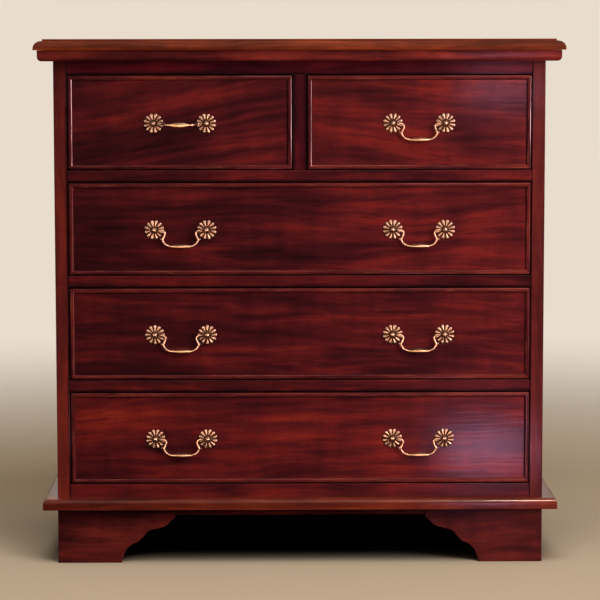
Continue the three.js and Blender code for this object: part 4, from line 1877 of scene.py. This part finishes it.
    def build_bail(self) -> bpy.types.Object:
        """Builds the bail, turned up by its raised angle.

        Returns:
            The object, in place.
        """
        start = -self.bore / 2
        swan = [(start, 0.0)]
        swan += [(start + x * self.drop, -z * self.drop) for x, z in self.neck_shares]
        left = smooth_curve(swan, self.neck_steps)
        grip_start = start + self.drop
        grip = [
            (grip_start * (1 - 2 * step / self.grip_steps), -self.drop)
            for step in range(1, self.grip_steps)
        ]
        right = [(-x, z) for x, z in reversed(left)]
        line = [*left, *grip, *right]
        rings = []
        for index, centre in enumerate(line):
            before = line[max(0, index - 1)]
            after = line[min(len(line) - 1, index + 1)]
            heading = (after[0] - before[0], after[1] - before[1])
            in_plane, across = self.bail_radii(index, len(left), len(line))
            rings.append(self.bail_ring(centre, heading, in_plane, across, self.bail_sides))
        bail = make_piece(f"{self.name}_cast_bail", *loft(rings), (self.brass,),
                          smooth=self.cast_angle)
        outs = [abs(vertex.co.x) / MM + grip_start for vertex in bail.data.vertices]
        mark(bail, "blush",
             lambda index: min(1.0, max(self.grip_blush, outs[index] / self.blush_reach)))
        pins = [(-start - abs(vertex.co.x) / MM, -vertex.co.z / MM)
                for vertex in bail.data.vertices]
        # Dark round the pins: patina, with painted shade
        mark(bail, "recess", lambda index: max(
            0.0, self.pin_shade - math.hypot(*pins[index]) / self.pin_shade_reach))
        for side in Side:
            spur = make_piece("spur", *loft(self.spur_rings(side)), (self.brass,),
                              smooth=self.cast_angle)
            mark(spur, "blush", lambda index: 1.0)
            self.absorb(bail, spur)
        turn = Matrix.Rotation(-math.radians(self.raised), 4, "X")
        bail.data.transform(Matrix.Translation(self.pivot) @ turn)
        return bail

    def bail_radii(self, index: int, neck_count: int, count: int) -> Point:
        """Gives the bail's half width and half depth at a station.

        Args:
            index: The station.
            neck_count: How many stations each neck has.
            count: How many stations there are in all.

        Returns:
            Half width and half depth, in millimetres.
        """
        from_end = min(index, count - 1 - index)
        if from_end < neck_count:
            share = from_end / (neck_count - 1)
            off_knuckle = (share - self.knuckle_share) / self.knuckle_reach_share
            radius = between((self.pin_radius, self.neck_radius), share)
            radius += self.knuckle_height * math.exp(-(off_knuckle**2))
            return radius, radius
        share = (from_end - neck_count + 1) / (self.grip_steps / 2)
        swell = math.sin(math.pi / 2 * min(1.0, share)) ** self.grip_power
        shoulder = self.shoulder_height * math.exp(-((share / self.shoulder_reach_share) ** 2))
        half_width = between((self.neck_radius, self.grip_radius), swell)
        half_depth = between((self.neck_radius, self.grip_depth), swell)
        return half_width + shoulder, half_depth + shoulder

    def spur_rings(self, side: Side) -> list[Ring]:
        """Gives the rings of the spur on one neck, curling up to a blunt tip.

        Args:
            side: Which of the two necks it is on.

        Returns:
            Rings in metres, from its root to its tip.
        """
        start_x, start_z = self.spur_start_shares
        root = (side.value * (self.bore / 2 - start_x * self.drop), -start_z * self.drop)
        rings = []
        for step in range(self.spur_steps + 1):
            share = step / self.spur_steps
            rise = math.radians(self.spur_rise * between(self.spur_curl_shares, share))
            reach = self.spur_length * share
            heading = (side.value * math.cos(rise), math.sin(rise))
            spot = (root[0] + heading[0] * reach,
                    root[1] + heading[1] * reach * self.spur_lift_share)
            radius = between(self.spur_radii, share**self.spur_taper_power)
            rings.append(self.bail_ring(spot, heading, radius, radius, self.spur_sides))
        return rings


# The studio


@dataclass
class Studio:
    """A plain pale floor, soft lights, and the camera at the photograph's angle."""

    lens: float = 147.96
    sensor: float = 36.0
    clip_end: float = 200.0
    camera_spot: Triple = (-0.04866, -4.702395, 0.95119)
    # How far the camera looks down, to the right and aslant, in radians
    pitch: float = 0.10254
    yaw: float = 0.010859
    roll: float = -0.0012725
    floor_size: float = 60.0
    floor_colour: str = "#e2d2ba"
    # Painted shade: the darker colour that reflections and bounced light see on the floor
    shade_colour: str = "#1c1814"
    sky_colour: str = "#e9dccd"
    # Where the floor starts and ends fading into the backdrop, in metres from the chest
    fade: Point = (0.9, 3.6)
    # The painted shadow under the chest, and where it sets in and is full: from the sides, front
    # and back
    painted_shadow_colour: str = "#1c0d0c"
    painted_shadow_sides: Point = (0.5, 0.4)
    painted_shadow_front: Point = (-0.26, -0.03)
    painted_shadow_back: Point = (0.5, 0.3)
    # How the surroundings brighten: the axis of the way looked, two places on it, and the
    # strength at each. The first two show in polish and metal, the last lights matt surfaces.
    sky_behind = ("Y", (-0.3, 0.7), (0.02, 0.6))
    sky_overhead = ("Z", (0.05, 0.6), (0.0, 0.35))
    sky_bounced = ("Z", (0.25, 0.75), (0.01, 0.3))

    def build_camera(self) -> None:
        """Puts the camera where the photograph was taken from."""
        data = bpy.data.cameras.new("camera")
        data.lens = self.lens
        data.sensor_width = self.sensor
        data.clip_end = self.clip_end
        camera = bpy.data.objects.new("camera", data)
        ahead = Vector((
            math.sin(self.yaw) * math.cos(self.pitch),
            math.cos(self.yaw) * math.cos(self.pitch),
            -math.sin(self.pitch),
        ))
        level = Vector((math.cos(self.yaw), -math.sin(self.yaw), 0.0))
        above = level.cross(ahead)
        right = level * math.cos(self.roll) + above * math.sin(self.roll)
        up = above * math.cos(self.roll) - level * math.sin(self.roll)
        turn = Matrix((right, up, -ahead)).transposed()
        camera.matrix_world = Matrix.Translation(self.camera_spot) @ turn.to_4x4()
        bpy.context.scene.collection.objects.link(camera)
        bpy.context.scene.camera = camera
        bpy.context.scene.view_settings.view_transform = "Standard"
        log.info("camera: %g mm lens", self.lens)

    def build_floor(self) -> None:
        """Lays the floor."""
        half = self.floor_size / 2
        corners = [Vector((*corner, 0.0)) for corner in rectangle((-half, -half), (half, half))]
        material, tree, output = new_material("pale_floor")
        path = add_node(tree, "ShaderNodeLightPath")
        place = add_node(tree, "ShaderNodeTexCoord").outputs["Object"]
        # The floor's colour, with a painted shadow under the chest
        colour = add_node(
            tree,
            "ShaderNodeMix",
            {"Factor": self.painted_shadow_share(tree, place), "A": linear(self.floor_colour),
             "B": linear(self.painted_shadow_colour)},
            data_type="RGBA",
        ).outputs["Result"]
        matt = add_node(tree, "ShaderNodeBsdfDiffuse", {"Color": colour})
        dim = add_node(tree, "ShaderNodeBsdfDiffuse", {"Color": linear(self.shade_colour)})
        bounced = add_node(
            tree,
            "ShaderNodeMath",
            {0: path.outputs["Is Glossy Ray"], 1: path.outputs["Is Diffuse Ray"]},
            operation="MAXIMUM",
        )
        near = add_node(
            tree,
            "ShaderNodeMixShader",
            {0: bounced.outputs[0], 1: matt.outputs[0], 2: dim.outputs[0]},
        )
        away = add_node(tree, "ShaderNodeVectorMath", {0: place}, operation="LENGTH")
        faded = add_node(
            tree,
            "ShaderNodeMapRange",
            {"Value": away.outputs["Value"], "From Min": self.fade[0], "From Max": self.fade[1]},
            interpolation_type="SMOOTHSTEP",
        )
        share = add_node(
            tree,
            "ShaderNodeMath",
            {0: faded.outputs[0], 1: path.outputs["Is Camera Ray"]},
            operation="MULTIPLY",
        )
        haze = add_node(tree, "ShaderNodeEmission", {"Color": linear(self.sky_colour)})
        seamless = add_node(
            tree, "ShaderNodeMixShader", {0: share.outputs[0], 1: near.outputs[0],
                                          2: haze.outputs[0]}
        )
        tree.links.new(seamless.outputs[0], output.inputs["Surface"])
        self.floor = make_piece("floor", corners, [[0, 1, 2, 3]], (material,))

    def painted_shadow_share(
        self, tree: bpy.types.NodeTree, place: bpy.types.NodeSocket
    ) -> bpy.types.NodeSocket:
        """Tells how much of the painted shadow under the chest lies on a point of the floor.

        Args:
            tree: The node tree of the floor's material.
            place: The point.

        Returns:
            A socket with a share from 0 to 1.
        """
        split = add_node(tree, "ShaderNodeSeparateXYZ", {0: place})
        across = add_node(tree, "ShaderNodeMath", {0: split.outputs["X"]}, operation="ABSOLUTE")
        slopes = [
            add_node(
                tree,
                "ShaderNodeMapRange",
                {"Value": socket, "From Min": ends[0], "From Max": ends[1]},
                interpolation_type="SMOOTHSTEP",
            ).outputs[0]
            for socket, ends in (
                (across.outputs[0], self.painted_shadow_sides),
                (split.outputs["Y"], self.painted_shadow_front),
                (split.outputs["Y"], self.painted_shadow_back),
            )
        ]
        share: object = 1.0
        for slope in slopes:
            share = add_node(
                tree, "ShaderNodeMath", {0: slope, 1: share}, operation="MULTIPLY"
            ).outputs[0]
        return share

    def add_light(
        self, name: str, spot: Triple, target: Triple, size: Point, watts: float, colour: str,
        lighting: bool = True, mirrored: bool = True,
        chosen: Sequence[bpy.types.Object] = (), spared: Sequence[bpy.types.Object] = (),
    ) -> None:
        """Adds a soft light.

        Args:
            name: Its name.
            spot: Where it stands, in metres.
            target: What it faces.
            size: Its width and height, in metres.
            watts: Its power.
            colour: Its colour as sRGB hex.
            lighting: Whether it lights matt surfaces.
            mirrored: Whether it shows in polish and metal.
            chosen: The only objects that it lights, if any are given.
            spared: Objects that it leaves unlit.
        """
        data = bpy.data.lights.new(name, "AREA")
        data.shape = "RECTANGLE"
        data.size, data.size_y = size
        data.energy = watts
        data.color = linear(colour)[:3]
        light = bpy.data.objects.new(name, data)
        light.location = spot
        aim = Vector(target) - Vector(spot)
        light.rotation_euler = aim.to_track_quat("-Z", "Y").to_euler()
        light.visible_camera = False
        light.visible_diffuse = lighting
        light.visible_glossy = mirrored
        bpy.context.scene.collection.objects.link(light)
        if chosen or spared:
            linked = bpy.data.collections.new(f"{name}_reach")
            for item in (*chosen, *spared):
                linked.objects.link(item)
            for item in linked.collection_objects[len(chosen) :]:
                item.light_linking.link_state = "EXCLUDE"
            light.light_linking.receiver_collection = linked

    def build_lights(self) -> None:
        """Sets up the lights and the surroundings, once every piece is there."""
        middle = (0.0, -0.2, 0.5)
        beads = pieces_named("_cock_bead")
        short_beads = [bead for bead in beads if bead.name.startswith("short")]
        rounds = [*beads, *pieces_named("_moulding_finished")]
        brasses = pieces_named("_cast_")
        # The room's own light. The high window is split, so that the top board's gloss leaves
        # it out.
        window_high = ((1.8, -3.1, 3.3), middle, (2.0, 1.2), 44.0, "#fff4ec")
        self.add_light("window_right", (1.7, -1.6, 1.0), middle, (1.0, 1.4), 66.0, "#fff3ea",
                       mirrored=False, spared=[self.floor])
        self.add_light("window_high", *window_high, mirrored=False)
        self.add_light("window_sheen", *window_high, lighting=False,
                       spared=pieces_named("top_board_finished"))
        self.add_light("ceiling", (0.2, -1.7, 3.4), (0.0, -0.8, 0.0), (2.4, 1.4), 56.0, "#fff3e4",
                       mirrored=False)
        self.add_light("behind_high", (-0.6, 2.2, 2.2), middle, (1.8, 1.4), 60.0, "#fff3e4",
                       mirrored=False, spared=[self.floor])
        # What draws the bright lines on the beads and mouldings
        self.add_light("window_edge", (1.9, -1.15, 0.96), (0.0, -0.2, 0.8), (1.0, 0.6), 145.0,
                       "#ffc9cf", lighting=False, chosen=short_beads)
        self.add_light("window_foot", (1.9, -1.15, 0.26), (0.0, -0.2, 0.4), (1.0, 0.7), 9.0,
                       "#ffc9cf", lighting=False, chosen=beads)
        self.add_light("gloss_high", (1.5, -2.6, 3.0), middle, (1.4, 0.5), 24.0, "#ffd6d0",
                       lighting=False, chosen=rounds)
        self.add_light("glint", (0.745, -2.2, 2.4), (0.43, -0.24, 0.12), (0.13, 0.9), 26.0,
                       "#ffdcc4", lighting=False, chosen=pieces_named("base_moulding_finished"))
        # What gleams on the brass
        self.add_light("gleam_right", (1.7, -1.7, 0.9), middle, (0.5, 1.2), 48.0, "#fff4f0",
                       lighting=False, chosen=brasses)
        self.add_light("gleam_left", (-1.5, -1.7, 0.9), middle, (0.3, 1.2), 24.0, "#ffe6d6",
                       lighting=False, chosen=brasses)
        self.add_light("gleam_high", (1.0, -2.2, 2.9), middle, (1.2, 0.6), 34.0, "#fff4f0",
                       lighting=False, chosen=brasses)
        self.add_light("room_front", (0.0, -5.4, 1.4), middle, (5.0, 2.8), 23.0, "#ffe8d0",
                       lighting=False, chosen=brasses)
        self.add_light("gleam_low", (0.3, -2.4, 0.1), middle, (2.4, 0.3), 34.0, "#ffdcac",
                       lighting=False, chosen=brasses)
        self.add_light("gleam_floor", (0.2, -1.25, 0.08), (0.2, -1.05, 1.0), (2.4, 1.0), 24.0,
                       "#ffe0c0", lighting=False, chosen=pieces_named("_cast_bail"))
        # Two faint spots of sheen at the right, one low and one high
        self.add_light("sheen_low", (0.43, -1.2, 0.05), (0.43, 0.0, 0.1), (0.18, 0.08), 0.3,
                       "#ffb8e8", lighting=False)
        self.add_light("sheen_high", (0.46, -1.2, 0.855), (0.46, 0.0, 0.86), (0.16, 0.03), 0.09,
                       "#ffb8e0", lighting=False)
        self.build_surroundings()

    def build_surroundings(self) -> None:
        """Gives the world: pale behind the chest, dark where its front looks, lit from above."""
        world = bpy.data.worlds.new("room")
        bpy.context.scene.world = world
        world.use_nodes = True
        tree = world.node_tree
        tree.nodes.clear()
        sky = linear(self.sky_colour)
        direction = add_node(tree, "ShaderNodeTexCoord").outputs["Generated"]
        split = add_node(tree, "ShaderNodeSeparateXYZ", {0: direction})
        behind, overhead, bounced = [
            add_node(
                tree,
                "ShaderNodeMapRange",
                {"Value": split.outputs[axis], "From Min": places[0], "From Max": places[1],
                 "To Min": strengths[0], "To Max": strengths[1]},
                interpolation_type="SMOOTHSTEP",
            ).outputs[0]
            for axis, places, strengths in (self.sky_behind, self.sky_overhead, self.sky_bounced)
        ]
        shown = add_node(
            tree, "ShaderNodeMath", {0: behind, 1: overhead}, operation="MAXIMUM"
        ).outputs[0]
        seen, dim, mirrored = [
            add_node(tree, "ShaderNodeBackground", {"Color": sky, "Strength": strength})
            for strength in (1.0, bounced, shown)
        ]
        path = add_node(tree, "ShaderNodeLightPath")
        unseen = add_node(
            tree, "ShaderNodeMixShader",
            {0: path.outputs["Is Glossy Ray"], 1: dim.outputs[0], 2: mirrored.outputs[0]},
        )
        both = add_node(
            tree, "ShaderNodeMixShader",
            {0: path.outputs["Is Camera Ray"], 1: unseen.outputs[0], 2: seen.outputs[0]},
        )
        add_node(tree, "ShaderNodeOutputWorld", {"Surface": both.outputs[0]})


def pieces_named(words: str) -> list[bpy.types.Object]:
    """Gives the pieces that have some words in their names."""
    return [item for item in bpy.context.scene.objects if words in item.name]


# Each drawer's board: its place in the log, the slant of its fibres in degrees, how much
# lighter it is at the chest's left and right, and how much dark polish and painted shade lie
# along its right
BOARDS = {
    "short_left": (61, 9.0, (-0.07, -0.03), 0.25),
    "short_right": (62, -3.0, (0.0, 0.02), 0.58),
    "upper": (63, 1.0, (-0.13, 0.06), 0.5),
    "middle": (64, -1.0, (-0.06, -0.02), 0.6),
    "lower": (65, 1.5, (0.06, 0.01), 0.4),
}
# The bail that is stored raised, in degrees, and the handle whose rosettes are turned by half
# a petal
RAISED = {"short_left": 86.0}
TURNED = {"middle_left": 0.5}


def main() -> None:
    """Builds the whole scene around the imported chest."""
    logging.basicConfig(level=logging.INFO, format="%(name)s: %(message)s")
    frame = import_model()
    studio = Studio()
    studio.build_camera()
    studio.build_floor()
    finishes = Finishes()
    Case(finishes).build()
    swings = {
        joint["child"]: Vector(joint["pos_m"])
        for joint in frame["joints"]
        if joint["type"] == "hinge"
    }
    for name, (seed, slant, lift, right_stain_and_shade) in BOARDS.items():
        handles = [name] if name.startswith("short") else [f"{name}_left", f"{name}_right"]
        pivots = [swings[f"{handle}_bail"] for handle in handles]
        Drawer(name, seed, slant, lift, right_stain_and_shade, finishes).build(pivots, Handle.bore)
        for handle, pivot in zip(handles, pivots):
            Handle(handle, f"{name}_drawer", pivot, RAISED.get(handle, 0.0), finishes.brass,
                   petal_phase_share=TURNED.get(handle, 0.0)).build()
    studio.build_lights()


if __name__ == "__main__":
    main()
